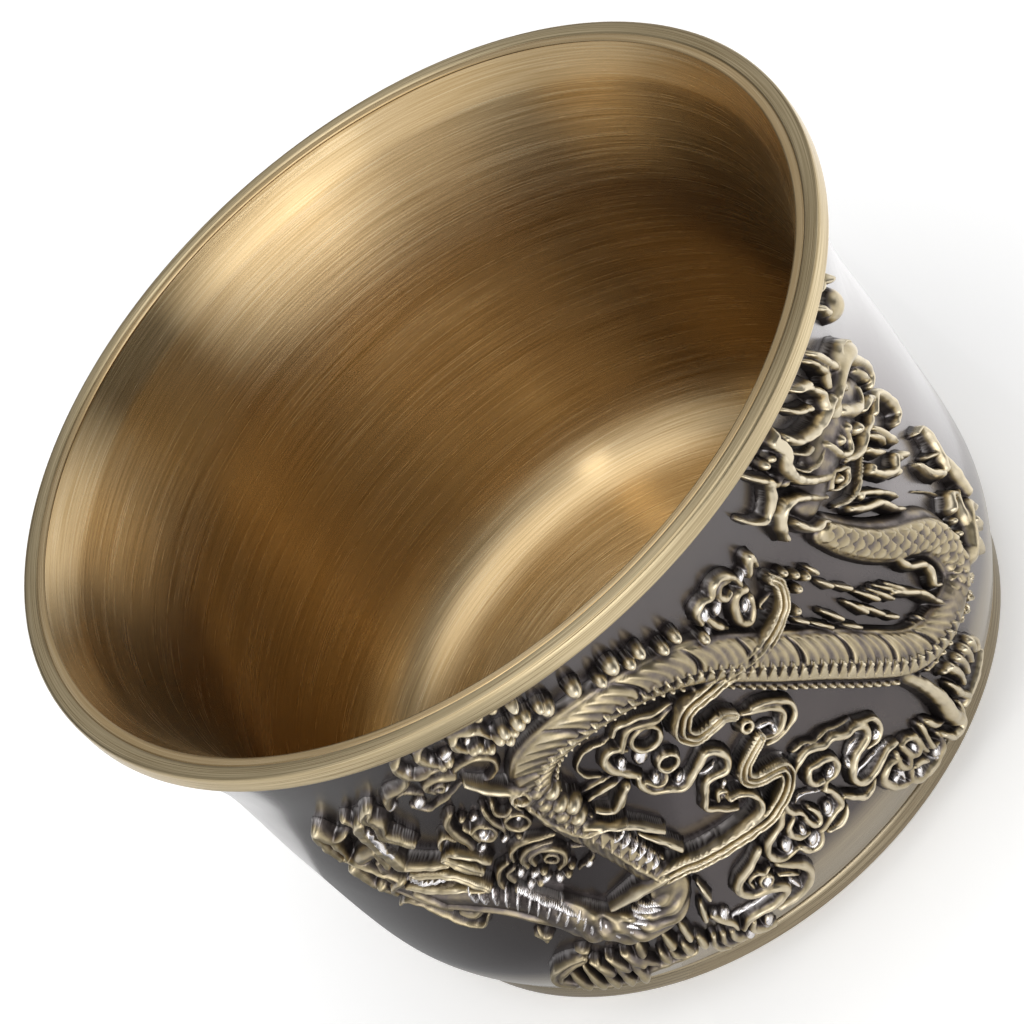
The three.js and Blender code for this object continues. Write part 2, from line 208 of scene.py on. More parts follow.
def smooth_path(points: Array, step: float = PATH_STEP) -> Array:
    """A smooth curve through points, cut into equal steps.

    Between two points it is a cubic of them and their neighbours on both sides.

    Args:
        points: rows of (along, up), and any further columns, in mm.
        step: spacing of the result in mm.

    Returns:
        Rows of the same columns in equal steps.
    """
    if len(points) == 2:
        fine = points[0] + (points[1] - points[0]) * np.linspace(0, 1, 24)[:, None]
    else:
        padded = np.vstack([2 * points[0] - points[1], points, 2 * points[-1] - points[-2]])
        place = np.linspace(0, len(points) - 1, 20 * len(points))
        k = np.minimum(place.astype(int), len(points) - 2)
        t = (place - k)[:, None]
        a, b, c, d = (padded[k + i] for i in range(4))
        bend = (2 * a - 5 * b + 4 * c - d) * t**2 + (3 * b - a - 3 * c + d) * t**3
        fine = 0.5 * (2 * b + (c - a) * t + bend)
    run = np.r_[0, np.cumsum(np.hypot(*np.diff(fine[:, :2], axis=0).T))]
    even = np.linspace(0, run[-1], max(3, int(round(run[-1] / step)) + 1))
    return np.stack([np.interp(even, run, column) for column in fine.T], 1)


def blurred(height: Array, reach: float) -> Array:
    """A smoothed copy: three running means along each axis, which is close to a bell curve.

    Args:
        height: the field.
        reach: half width of each mean, in cells.

    Returns:
        A field of the same shape.
    """
    width = max(1, int(round(reach)))
    out = height.astype(float)
    for axis in (0, 1, 0, 1, 0, 1):
        pads = [(width + 1, width) if a == axis else (0, 0) for a in (0, 1)]
        total = np.cumsum(np.pad(out, pads, mode="edge"), axis=axis)
        count = out.shape[axis]
        ahead = np.take(total, range(2 * width + 1, 2 * width + 1 + count), axis=axis)
        behind = np.take(total, range(0, count), axis=axis)
        out = (ahead - behind) / (2 * width + 1)
    return out


@dataclass
class Near:
    """What a part of the grid knows about a path that passes over it."""

    rows: slice
    cols: slice
    distance: Array
    side: Array
    run: Array
    length: float


@dataclass
class ReliefGrid:
    """A fine grid over one side of the wall, on which castings are drawn as heights.

    It reaches from left to right in degrees, and from low to top in mm. "peak" is the
    highest of all the castings at each place, and beside it lies the painted highlight of that one, 0 to 1.
    Every casting is softened as if poured, which is its share of a blurred copy.
    """

    wall: WallProfile
    left: float = -67.5
    right: float = 67.5
    low: float = FOOT_TOP + 0.03
    top: float = LIP_UNDERSIDE - 0.25
    step: float = 0.08
    edge: float = 0.26
    legs_at_once: int = 6
    unreached: float = 1000.0
    # Share of the painted highlight laid along the seam above each stroke.
    painted_seam_share: float = 0.4
    # Shares of the narrow and the wide darkening beside the castings: patina with painted shade.
    patina_and_shade_near: float = 0.5
    patina_and_shade_wide: float = 0.2
    poured: float = 0.35
    poured_scales: float = 0.1
    lip_fade: float = 0.6
    layers: dict[str, Array] = field(default_factory=dict)

    def __post_init__(self) -> None:
        """Lays out the grid lines: along the waist, and up, in mm."""
        to_mm = math.radians(1) * WAIST
        self.along = np.arange(self.left * to_mm, self.right * to_mm, self.step)
        self.up = np.arange(self.low, self.top, self.step)
        self.peak = np.zeros((len(self.up), len(self.along)))
        self.painted_highlight = np.zeros_like(self.peak)

    def seen(self, points: Sequence[Sequence[float]], proud: float) -> Array:
        """Rows of (degrees, height, ...) as seen, as (along, up, ...) rows in mm."""
        return Sight(self.wall).place(points, proud)

    def layer(self, name: str) -> Array:
        """The heights of one casting, bare at first use."""
        if name not in self.layers:
            self.layers[name] = np.zeros((len(self.up), len(self.along)))
        return self.layers[name]

    def painted_glint(self) -> Array:
        """Where a painted highlight lies: on the eyes, on the bright strips, and on the seam above each
        stroke.

        A place is on the seam where it is low but not bare, and where what lies two to
        four rows below it stands much higher.
        """
        below = np.maximum.reduce([np.roll(self.peak, rows, axis=0) for rows in (2, 3, 4)])
        seam = ramped(self.peak, 0.4, -0.1) * ramped(self.peak, 0.05, 0.03) * ramped(below, 0.75, 0.2)
        # Painted highlight: the seam and the bright marks are coloured as if catching light.
        return np.maximum(self.painted_seam_share * seam, self.painted_highlight)

    def bank(self, distance: Array, half: Array) -> Array:
        """The slope at a strip's edge: 1 inside the strip, falling to 0 across the edge."""
        return np.clip((half + 0.5 * self.edge - distance) / self.edge, 0, 1)

    def patina_and_shade_at(self, degrees: Array, height: Array) -> Array:
        """How dark the wall is made at places on it, patina together with painted shade: the castings blurred
        outwards, 0 to 1.

        A narrow blur darkens the corner beside a casting, and a wide one the gaps; both lay painted shade
        over the patina.

        Args:
            degrees: places round the cup.
            height: heights in mm.

        Returns:
            The darkening at each place. The back has the front's, turned half round.
        """
        cover = np.clip(self.peak / 0.5, 0, 1)
        near = np.clip(1.6 * blurred(cover, 0.12 / self.step), 0, 1)
        wide = blurred(cover, 0.9 / self.step)
        # Painted shade beside the castings, laid together with patina.
        patina_and_shade = self.patina_and_shade_near * near + self.patina_and_shade_wide * wide
        half = np.mod(degrees + 90, 180) - 90
        col = (np.radians(half) * WAIST - self.along[0]) / self.step
        row = (height - self.up[0]) / self.step
        inside = (col >= 0) & (col < len(self.along) - 1) & (row >= -3) & (row < len(self.up) - 1)
        c = np.clip(col, 0, len(self.along) - 1).astype(int)
        r = np.clip(row, 0, len(self.up) - 1).astype(int)
        return np.where(inside, patina_and_shade[r, c], 0)

    def soften(self) -> None:
        """Softens every casting as if poured, and fades it out just below the lip."""
        fade = np.clip((self.top - self.up) / self.lip_fade - 0.1, 0, 1)[:, None]
        for name, height in self.layers.items():
            share = self.poured_scales if name == "dragon_body" else self.poured
            self.layers[name] = (height + share * (blurred(height, 1) - height)) * fade
        self.peak = np.maximum.reduce(list(self.layers.values()))

    def window(self, low: Array, high: Array) -> tuple[slice, slice]:
        """The rows and columns of the grid inside a box."""
        cols = slice(*np.searchsorted(self.along, [low[0], high[0]]))
        rows = slice(*np.searchsorted(self.up, [low[1], high[1]]))
        return rows, cols

    def near(self, path: Array, reach: float) -> Near:
        """Distance, side and run along a path for the grid points near it.

        Each point takes the nearest place on the path's straight legs, which are worked
        through a few at a time as whole arrays.

        Args:
            path: (along, up) rows in short equal steps.
            reach: how far from the path points are wanted, in mm.

        Returns:
            The part of the grid near the path, and its coordinates along the path.
        """
        rows, cols = self.window(path.min(0) - reach, path.max(0) + reach)
        x, y = self.along[cols], self.up[rows]
        distance = np.full((len(y), len(x)), self.unreached)
        side = np.zeros_like(distance)
        run = np.zeros_like(distance)
        legs = np.diff(path, axis=0)
        lengths = np.hypot(legs[:, 0], legs[:, 1])
        starts = np.r_[0, np.cumsum(lengths)]
        for first in range(0, len(legs), self.legs_at_once):
            some = slice(first, first + self.legs_at_once)
            a, d, n = path[:-1][some], legs[some], lengths[some]
            ends = path[first : first + len(a) + 1]
            c0, c1 = np.searchsorted(x, [ends[:, 0].min() - reach, ends[:, 0].max() + reach])
            r0, r1 = np.searchsorted(y, [ends[:, 1].min() - reach, ends[:, 1].max() + reach])
            if c0 >= c1 or r0 >= r1:
                continue
            dx = x[None, c0:c1, None] - a[:, 0]
            dy = y[r0:r1, None, None] - a[:, 1]
            t = np.clip((dx * d[:, 0] + dy * d[:, 1]) / n**2, 0, 1)
            gap = np.hypot(dx - t * d[:, 0], dy - t * d[:, 1])
            pick = gap.argmin(2)[..., None]
            best = np.take_along_axis(gap, pick, 2)[..., 0]
            turn = np.take_along_axis(d[:, 0] * dy - d[:, 1] * dx, pick, 2)[..., 0]
            there = np.take_along_axis(starts[: len(lengths)][some] + t * n, pick, 2)[..., 0]
            part = (slice(r0, r1), slice(c0, c1))
            nearer = best < distance[part]
            distance[part] = np.where(nearer, best, distance[part])
            side[part] = np.where(nearer, np.where(turn < 0, -best, best), side[part])
            run[part] = np.where(nearer, there, run[part])
        return Near(rows, cols, distance, side, run, float(starts[-1]))

    def raise_to(self, name: str, rows: slice, cols: slice, height: Array,
                 painted_highlight: Array | float = 0.0) -> None:
        """Raises part of a casting to a height, keeping whatever is already higher.

        Where this is now the highest of all the castings, its own painted highlight shows.
        """
        part, peak, highlight_cells = (grid[rows, cols] for grid in (self.layer(name), self.peak, self.painted_highlight))
        np.copyto(highlight_cells, painted_highlight, where=height > peak)
        np.maximum(peak, height, out=peak)
        np.maximum(part, height, out=part)


class Mark(Protocol):
    """Anything that can be drawn on a casting."""

    def draw(self, grid: ReliefGrid, name: str) -> None:
        """Raises the casting's heights."""


@dataclass(frozen=True)
class Stroke:
    """A strip of relief along a smooth path, tapering from its root to its tip.

    "root" and "tip" are shares of the half width, and "swell" is added half way along.
    A bright strip carries a painted highlight.
    """

    path: tuple[Point, ...]
    half: float = 0.42
    high: float = 1.15
    form: Form = Form.ROUND
    root: float = 0.8
    tip: float = 0.6
    swell: float = 0.3
    bright: bool = False

    def draw(self, grid: ReliefGrid, name: str) -> None:
        """Raises the strip along its path as seen."""
        self.raise_along(grid, name, smooth_path(grid.seen(self.path, self.high)))

    def raise_along(self, grid: ReliefGrid, name: str, path: Array) -> None:
        """Raises the strip: its section times its height, with a short slope at its edge.

        Two waves along it make its width uneven by a few hundredths, as cut by hand.

        Args:
            grid: what it is drawn on.
            name: the casting it belongs to.
            path: (along, up) rows in mm.
        """
        reach = 1.2 * self.half * (max(self.root, self.tip) + self.swell) + grid.edge
        near = grid.near(path, reach)
        if near.distance.size == 0:
            return
        t = near.run / near.length
        share = self.root + (self.tip - self.root) * t + self.swell * np.sin(math.pi * t)
        start = path[0].sum()
        lumps = np.sin(3.4 * near.run + start) + 0.7 * np.sin(6.1 * near.run + 2.3 * start)
        share = share * (1 + min(0.06, 0.02 / self.half) * lumps)
        half = self.half * share
        side = near.side / half
        lift = self.high * (0.45 + 0.55 * np.clip(share, 0, 1))
        section = across(self.form, np.clip(side, -0.97, 0.97))
        height = lift * section * grid.bank(near.distance, half)
        # A bright strip is coloured with a painted highlight along its middle.
        painted_highlight = np.clip(2.5 * (1 - near.distance / half), 0, 1) if self.bright else 0.0
        grid.raise_to(name, near.rows, near.cols, height, painted_highlight)


@dataclass(frozen=True)
class Fringe:
    """A row of drops that stand side by side along a line, like the teeth of a comb."""

    line: tuple[Point, ...]
    pitch: float
    length: float
    lean: float = 0.0
    drop: Stroke = Stroke((), 0.3, 1.3, Form.ROUND, 1.0, 0.35, 0.15)

    def draw(self, grid: ReliefGrid, name: str) -> None:
        """Raises each drop, to the left of the line where the length is positive."""
        line = smooth_path(grid.seen(self.line, self.drop.high))
        every = int(round(self.pitch / PATH_STEP))
        for k, here in enumerate(line[:-4:every]):
            ahead = line[k * every + 3] - here
            ahead = ahead / np.hypot(*ahead)
            uneven = 1 + 0.12 * math.sin(2.3 * k)
            tip = here + self.length * uneven * np.array([-ahead[1], ahead[0]]) + self.lean * ahead
            self.drop.raise_along(grid, name, smooth_path(np.array([here, tip])))


@dataclass(frozen=True)
class Dome:
    """A round boss, or one with a painted highlight that is longer one way and leans."""

    at: Point
    half: float = 0.5
    high: float = 0.9
    bright: bool = False
    longer: float = 1.35
    tilt: float = 0.35

    def draw(self, grid: ReliefGrid, name: str) -> None:
        """Raises the boss: one less the squared distance from its middle, to a small power.

        A bright boss is a third longer in a direction worked out from its place, and
        is higher on one side, and it carries a painted highlight.
        """
        centre = grid.seen([self.at], self.high)[0]
        long = self.longer if self.bright else 1.0
        rows, cols = grid.window(centre - long * self.half, centre + long * self.half)
        dx = grid.along[cols][None, :] - centre[0]
        dy = grid.up[rows][:, None] - centre[1]
        turn = 0.9 + 0.5 * math.sin(1.7 * self.at[0] + self.at[1])
        u = (dx * math.cos(turn) + dy * math.sin(turn)) / (long * self.half)
        v = (dy * math.cos(turn) - dx * math.sin(turn)) / self.half
        inside = np.clip(1 - u**2 - v**2, 0, 1)
        lean = 1 + (self.tilt * v if self.bright else 0)
        # A bright boss is coloured with a painted highlight inside its rim.
        painted_highlight = np.clip(3 * (inside - 0.2), 0, 1) if self.bright else 0.0
        grid.raise_to(name, rows, cols, self.high * inside**0.5 * lean, painted_highlight)


def rim(*path: Point, half: float = 0.42, high: float = 0.95) -> Stroke:
    """A cloud's raised rim: rounded, with a fine groove along it where it is broad."""
    return Stroke(path, half * 1.05, high, Form.GROOVED if half > 0.49 else Form.ROUND)


def fine(*path: Point, half: float = 0.24, high: float = 0.6) -> Stroke:
    """A thin line beside a rim."""
    return Stroke(path, 0.65 * half, high)


def drop(*path: Point, half: float = 0.42, high: float = 1.05) -> Stroke:
    """A drop: narrow at its root and full at its tip."""
    return Stroke(path, half, high, root=0.55, tip=1.0, swell=0.15)


def lock(*path: Point, half: float = 0.5, high: float = 1.5) -> Stroke:
    """A lock of mane or a horn: full at its root and pointed at its tip."""
    return Stroke(path, half, high, root=1.0, tip=0.35, swell=0.1)


def painted_gleam(*path: Point, half: float = 0.26, high: float = 0.6) -> Stroke:
    """A strip that lies low between rims and carries a painted highlight."""
    return Stroke(path, 0.8 * half, high, root=0.6, tip=0.5, swell=0.4, bright=True)


def ring(at: Point, radius: float, half: float = 0.3, high: float = 0.95) -> Stroke:
    """A closed round rim about a place, of a radius in mm."""
    turns = (math.radians(a) for a in range(60, 421, 30))
    wide = math.degrees(radius / WAIST)
    path = tuple((at[0] + wide * math.cos(a), at[1] + radius * math.sin(a)) for a in turns)
    return Stroke(path, half, high, root=0.9, tip=0.9, swell=0.0)


def domes(half: float, high: float, *places: Point) -> tuple[Dome, ...]:
    """Bosses of one size."""
    return tuple(Dome(at, half, high) for at in places)


def eyes(half: float, high: float, *places: Point) -> tuple[Dome, ...]:
    """Bosses inside the clouds' curls that carry a painted highlight."""
    return tuple(Dome(at, half, 0.7 * high, True) for at in places)


@dataclass(frozen=True)
class DragonBody:
    """The dragon's long scaled body: a spine line with a half width at each point.

    "rib" is the pitch of the teeth and beads and "fan" that of the fans. The stretches
    are how far along the body the arch, the bend and the low loop begin; "before" and
    "beyond" lie past its two ends. Where it is wide as "full_half" it stands full height.
    """

    spine: tuple[tuple[float, float, float], ...] = (
        (29.6, 25.3, 1.2), (31.5, 23.2, 1.45), (34.2, 20.8, 1.6), (37.6, 18.6, 1.75), (41.2, 16.8, 1.85),
        (44.2, 14.9, 1.9), (45.4, 12.6, 1.9), (44.4, 10.7, 1.85), (41.0, 9.9, 1.8), (36.0, 10.1, 1.9),
        (30.6, 11.0, 1.95), (26.2, 12.6, 2.05), (21.8, 15.5, 2.15), (17.2, 18.8, 2.2), (12.4, 21.9, 2.2),
        (7.6, 25.1, 2.15), (3.4, 27.7, 2.1), (-2.5, 29.9, 2.05), (-9.0, 30.9, 2.05), (-15.5, 30.8, 2.0),
        (-20.6, 29.6, 1.9), (-23.8, 27.1, 1.7), (-24.6, 24.3, 1.6), (-23.4, 21.3, 1.45), (-21.6, 17.9, 1.4),
        (-20.4, 14.6, 1.4), (-20.6, 12.1, 1.5), (-23.6, 10.3, 1.65), (-28.0, 10.0, 1.75),
        (-32.8, 11.5, 1.75), (-36.8, 14.2, 1.65), (-41.4, 16.5, 1.5), (-46.6, 17.6, 1.35),
        (-52.0, 18.1, 1.15), (-56.6, 19.5, 0.9),
    )
    before: float = -9.0
    beyond: float = 999.0
    high: float = 1.5
    full_half: float = 1.95
    reach: float = 2.9
    scale_run: float = 0.8
    scale_width: float = 0.92
    rib: float = 0.86
    fan: float = 4.3
    blend: float = 2.0
    stretches: tuple[float, float, float] = (19.5, 75.0, 86.0)

    def scales(self, u: Array, v: Array) -> Array:
        """Overlapping round scales in staggered rows.

        A scale of one row rises from its root to its free edge, an arc that is one and
        a half rows long at its middle, and lies over the root of the next row.

        Args:
            u: run along the body in rows.
            v: place across the body in scales.

        Returns:
            0 at a scale's root to 1 at its free edge.
        """
        row = np.floor(u)
        over = row - 1
        side = v + 0.5 * (over % 2)
        side = 2 * (side - np.round(side))
        reach = 0.7 + 0.8 * np.sqrt(np.clip(1 - side**2, 0, 1))
        covered = (u - over) < reach
        run = np.where(covered, (u - over) / 1.5, (u - row) / 1.5)
        return run**1.3

    def teeth(self, u: Array, side: Array, root: float, length: float) -> Array:
        """A row of three-cornered teeth beside the belly, whose points face the back.

        A tooth reaches further from the belly in the middle of its run than at its
        ends, and rises towards its point.

        Args:
            u: run along the body in teeth.
            side: share of the half width, towards the belly.
            root: where the teeth begin.
            length: how far they reach.

        Returns:
            The teeth's height, 0 to 1.
        """
        middle = 1 - np.abs(2 * (u - np.floor(u)) - 1)
        point = root - length * (0.25 + 0.75 * middle)
        inside = ramped(side, point, 0.07) * ramped(side, root, -0.06)
        return inside * (0.35 + 0.65 * ramped(side, root, -length))

    def plates(self, run: Array, side: Array) -> Array:
        """Broad fans along the back: a curved furrow every few millimetres, and fine creases."""
        fan = run / self.fan - 0.5 * side**2
        fold = np.exp(-(((fan - np.floor(fan) - 0.5) / 0.045) ** 2))
        crease = 0.5 + 0.5 * np.cos(2 * math.pi * (fan * 5 + 0.6 * side))
        return 0.35 + 0.22 * crease**2 - 0.75 * fold

    def draw(self, grid: ReliefGrid, name: str) -> None:
        """Raises the body: a loaf section that carries a different skin on each stretch.

        The neck is scaled, the arch has fans, teeth and a row of beads, the bend behind
        it is lumpy, and the low loop is a plain ridge beside a hollow for its fringe.
        Places across the body are shares of its half width, below 0 towards the back
        and above 0 towards the belly.
        """
        path = smooth_path(grid.seen(self.spine, 0.6 * self.high))
        near = grid.near(path[:, :2], self.reach)
        steps = np.linspace(0, near.length, len(path))
        run = near.run
        half = np.interp(run, steps, path[:, 2])
        side = near.side / half
        loaf = (1 - np.clip(np.abs(side), 0, 0.985) ** 2.4) ** 0.6
        size = half / self.full_half
        neck, arch, bend, loop = (
            ramped(run, first, self.blend) * ramped(run, last, -self.blend)
            for first, last in zip((self.before, *self.stretches), (*self.stretches, self.beyond))
        )

        def bell(at: float, width: float) -> Array:
            """A ridge along the body at a share of its half width."""
            return np.exp(-(((side - at) / width) ** 2))

        beads = np.clip(np.cos(2 * math.pi * run / self.rib), 0, 1) ** 0.6
        back = ramped(side, 0.12, -0.1) * ramped(side, -0.84, 0.06)
        scaled = ramped(side, 0.4, -0.1) * ramped(side, -0.82, 0.06)
        scales = self.scales(run / self.scale_run, near.side / self.scale_width)
        teeth = self.teeth((run + 0.5 * near.side) / self.rib, side, 0.6, 0.75)
        lumps = np.sin(2.9 * run + 2 * side) * np.sin(3.1 * near.side + 0.7 * run)
        skin = neck * (0.38 * scales * scaled - 0.3 * ramped(side, 0.42, 0.1))
        skin += arch * (0.52 * teeth - 0.28 * bell(0.68, 0.07))
        skin += arch * (0.45 * self.plates(run, side) * back + 0.5 * beads * bell(0.87, 0.1))
        skin += bend * (0.3 * lumps + 0.25 * bell(-0.8, 0.12) + 0.15)
        skin += loop * (0.25 * bell(0.78, 0.2) - 0.5 * ramped(side, 0.6, -0.2))
        height = self.high * (0.45 + 0.55 * size) * loaf + size * skin + 0.16 * bell(-0.9, 0.06)
        height *= grid.bank(near.distance, half)
        height[near.distance > half + grid.edge] = 0
        grid.raise_to(name, near.rows, near.cols, height)


# The marks of each casting, where the photograph shows them: degrees and heights of the
# points of each path, then its half width and height in mm where they aren't the usual
# ones. First the tips of the spines on the dragon's back, and the roots and tips of the
# drops that stand in a comb between its arch and its neck.
SPINES: tuple[Point, ...] = (
    (-18.6, 35.4), (-14.6, 35.1), (-10.4, 35.1), (-7.2, 34.1), (-5.0, 34.5), (-3.0, 33.6), (-1.2, 33.8),
    (1.4, 32.3), (3.6, 32.3), (6.4, 30.0),
)

COMB: tuple[tuple[Point, Point], ...] = (
    ((17.6, 23.0), (18.6, 22.0)), ((19.2, 21.5), (20.8, 19.9)), ((21.4, 21.4), (22.8, 19.5)),
    ((22.6, 18.9), (24.2, 17.5)), ((25.2, 19.8), (26.4, 17.8)), ((26.2, 18.8), (28.4, 16.1)),
    ((27.4, 19.5), (29.2, 17.3)), ((29.2, 18.5), (31.2, 16.0)), ((30.4, 18.1), (33.0, 15.5)),
    ((32.2, 17.1), (34.0, 15.0)), ((28.6, 15.8), (29.8, 14.8)), ((24.0, 24.8), (24.4, 23.8)),
    ((24.0, 23.1), (24.8, 22.0)), ((25.6, 21.5), (26.8, 20.3)),
)

DRAGON_BODY: tuple[Mark, ...] = (
    DragonBody(), *(Dome((a, z - 1.5), 0.62 if z > 34.3 else 0.5, 1.45) for a, z in SPINES),
    *(drop(root, tip, half=0.3, high=1.1) for root, tip in COMB),
    Fringe(((-22.6, 10.9), (-25.2, 9.9), (-28.4, 9.1), (-31.7, 9.1), (-34.4, 9.9), (-36.6, 11.3),
        (-38.7, 13.2), (-41.2, 14.9), (-43.8, 16.1), (-47.2, 17.0)), 0.7, -1.8, 0.7,
        Stroke((), 0.2, 1.5, Form.ROUND, 0.6, 0.6, 0.5, True)),
    Stroke(((19.3, 26.5), (19.5, 25.6), (17.7, 24.3), (13.5, 23.7), (9.3, 23.8), (5.1, 24.5), (0.9, 24.7),
        (-1.6, 24.7), (-3.6, 23.8), (-4.3, 22.9), (-3.3, 22.0), (-0.8, 21.7), (1.3, 21.6),
        (2.6, 20.9)), 0.86, 2.0, Form.REEDED, 0.5, 0.5, 0.5),
    fine((18.6, 26.9), (16.6, 26.7), (14.8, 26.6), (15.2, 25.9)),
    Stroke(((-20.6, 13.1), (-17.0, 12.9), (-13.7, 12.5), (-7.4, 12.2), (-3.3, 12.1), (0.1, 12.7),
        (2.2, 13.5), (2.7, 14.5), (0.9, 15.0), (-1.2, 15.4), (-2.1, 16.1), (-1.2, 16.9), (0.9, 17.5),
        (3.2, 17.9)), 0.82, 1.9, Form.REEDED, 0.95, 0.6, 0.1),
    Stroke(((-30.4, 11.9), (-28.4, 12.2), (-25.4, 12.6), (-22.6, 12.9),
        (-20.2, 13.1)), 0.62, 1.9, Form.ROUND, 0.4, 1.0, 0.1),
    rim((-5.6, 15.9), (-4.0, 15.6), (-2.9, 14.9), (-2.7, 13.9), (-3.6, 13.2), (-6.0, 13.0), (-11.0, 13.1),
        half=0.36, high=1.6),
    painted_gleam((-15.4, 14.7), (-11.0, 14.2), (-7.4, 13.9), (-4.6, 13.9), half=0.2),
    Stroke(((-23.4, 21.1), (-20.6, 20.0), (-18.2, 18.8), (-15.6, 16.8)), 0.5, 1.6, Form.ROUND, 1, 0.6, 0),
    drop((-18.4, 17.9), (-16.6, 16.3), (-15.4, 14.8), half=0.36, high=1.3),
    drop((-20.6, 21.8), (-18.6, 21.1), (-16.6, 21.8), (-14.8, 22.5), half=0.4, high=1.3),
    Stroke(((-27.4, 25.0), (-27.0, 23.2), (-25.7, 21.5), (-24.4, 20.4), (-21.4, 20.0),
        (-18.9, 19.3)), 0.36, 1.85, Form.ROUND, 0.8, 0.9, 0),
    Stroke(((-23.9, 19.9), (-23.1, 18.0), (-22.3, 15.9), (-21.4, 14.2),
        (-20.7, 13.0)), 0.4, 1.8, Form.ROUND, 0.6, 1, 0),
    lock((-25.0, 27.2), (-27.3, 27.3), (-30.0, 28.2), (-32.1, 29.5), half=0.55, high=1.7),
    ring((-27.2, 26.4), 0.62, 0.3, 2.0),
    Fringe(((-19.6, 19.0), (-19.4, 17.4), (-19.0, 15.8), (-19.0, 14.4)), 0.8, -1.1, 0.3,
        Stroke((), 0.22, 1.6, bright=True)),
    *domes(0.85, 1.95, (-25.0, 26.2), (-23.4, 25.4), (-25.4, 24.6), (-23.9, 23.9), (-22.7, 23.2),
        (-24.7, 22.9), (-23.3, 22.0)),
    painted_gleam((-39.4, 17.1), (-37.7, 15.9), (-36.0, 14.6), (-33.9, 12.4), (-32.1, 11.4), half=0.22, high=1.5),
    drop((-43.0, 12.0), (-41.2, 11.6), half=0.36, high=0.9),
    drop((-39.8, 9.2), (-38.4, 8.9), half=0.36, high=0.9),
    drop((-41.8, 12.6), (-42.0, 11.2), half=0.3, high=0.9), drop((-17.3, 11.0), (-17.6, 9.1), half=0.3),
    drop((-19.2, 9.0), (-20.4, 7.3), half=0.36),
    Stroke(((-52.6, 22.2), (-53.2, 24.6), (-53.5, 26.7), (-52.0, 27.8)), 0.56, 1.6, Form.FLAT, 1, 0.85, 0),
    painted_gleam((-52.2, 22.6), (-52.6, 24.8), (-52.8, 26.6), half=0.26, high=1.7),
    Stroke(((-47.6, 29.7), (-49.3, 28.8), (-48.6, 27.7), (-49.9, 26.3), (-48.9, 25.3),
        (-47.5, 24.3)), 0.52, 1.4, Form.GROOVED),
    Stroke(((-52.4, 22.0), (-49.3, 21.7), (-45.2, 21.5)), 0.42, 1.6, Form.ROUND, 1, 0.7, 0),
    Stroke(((-52.0, 20.9), (-49.4, 20.8), (-47.0, 20.6), (-45.0, 19.8),
        (-42.9, 18.2)), 0.5, 1.7, Form.GROOVED, 0.9, 0.8, 0),
    Stroke(((-44.6, 22.3), (-42.9, 21.5), (-41.6, 20.0)), 0.55, 1.6, Form.GROOVED),
    Stroke(((-43.7, 22.8), (-42.0, 22.8), (-39.9, 21.9), (-39.0, 20.8)), 0.34, 1.5),
    Stroke(((-43.5, 23.6), (-42.4, 24.6), (-41.2, 25.0), (-40.2, 24.2)), 0.28, 1.2),
    painted_gleam((-54.6, 20.1), (-51.0, 19.9), (-47.2, 19.8), half=0.24, high=1.4),
    Stroke(((-55.7, 19.2), (-51.4, 18.9), (-47.1, 18.7), (-43.7, 17.9)), 0.42, 1.5),
    Stroke(((-56.4, 22.4), (-56.8, 20.6), (-56.2, 19.0)), 0.5, 1.3),
    drop((-50.4, 27.6), (-51.6, 28.0), (-53.0, 28.8), half=0.4),
    drop((-49.6, 27.6), (-48.7, 28.8), half=0.36), drop((-50.4, 27.4), (-52.4, 27.4), half=0.34),
    drop((-53.4, 23.5), (-53.2, 24.9), half=0.45),
    Stroke(((24.6, 12.3), (25.6, 10.3), (27.2, 8.0), (28.5, 5.4), (29.6, 2.9),
        (30.4, 1.8)), 0.75, 1.7, Form.ROUND, 0.7, 1.0, 0),
    Stroke(((26.2, 2.5), (27.4, 1.6), (29.6, 1.4), (31.4, 1.8), (31.8, 2.8)), 0.42, 1.4),
    Stroke(((46.8, 9.8), (49.0, 8.6), (52.0, 8.0), (55.6, 8.7), (59.0, 8.8), (61.6, 7.2)), 0.85, 1.7),
    lock((54.0, 9.2), (56.6, 10.6), (59.4, 10.3), half=0.7), lock((53.2, 11.8), (55.6, 12.0), (58.6, 10.3)),
    lock((61.0, 9.2), (61.8, 11.6), (60.4, 13.8), (57.4, 15.3), half=0.6),
    lock((59.0, 13.0), (61.6, 14.6), (62.0, 16.0), (59.6, 16.8), half=0.55),
    lock((57.0, 13.6), (55.0, 15.0), (54.2, 16.5), half=0.5),
    lock((54.0, 7.8), (55.6, 5.8), (57.6, 4.4), half=0.5),
    lock((57.4, 8.0), (59.6, 6.0), (61.6, 4.8), half=0.5),
    fine((47.2, 17.6), (50.3, 15.4), (52.1, 13.3), (53.9, 11.7), half=0.16, high=0.5),
    *domes(0.36, 1.1, (51.6, 12.6), (51.2, 11.6), (50.4, 10.6), (49.4, 9.6), (48.2, 8.8)),
    *(ring(at, 0.34, 0.16, 1.1) for at in ((46.4, 8.0), (43.9, 7.6), (41.4, 7.7), (39.2, 8.1))),
    rim((36.4, 17.2), (37.3, 15.6), (39.6, 14.2), (40.1, 13.1), (39.2, 12.1), (40.2, 11.4),
        half=0.4, high=1.3),
    rim((32.4, 16.0), (33.8, 14.9), (36.0, 13.3), (37.3, 11.6), (38.7, 9.9), half=0.36, high=1.5),
    drop((33.0, 12.6), (33.4, 11.0), half=0.32), drop((31.6, 12.8), (31.6, 10.2), half=0.34),
    rim((28.4, 9.3), (30.8, 9.1), (33.4, 9.1), (35.0, 10.0), half=0.34),
    *domes(0.42, 1.2, (20.6, 26.5), (21.8, 25.4), (22.9, 24.4), (20.8, 24.4), (18.6, 23.3)),
)

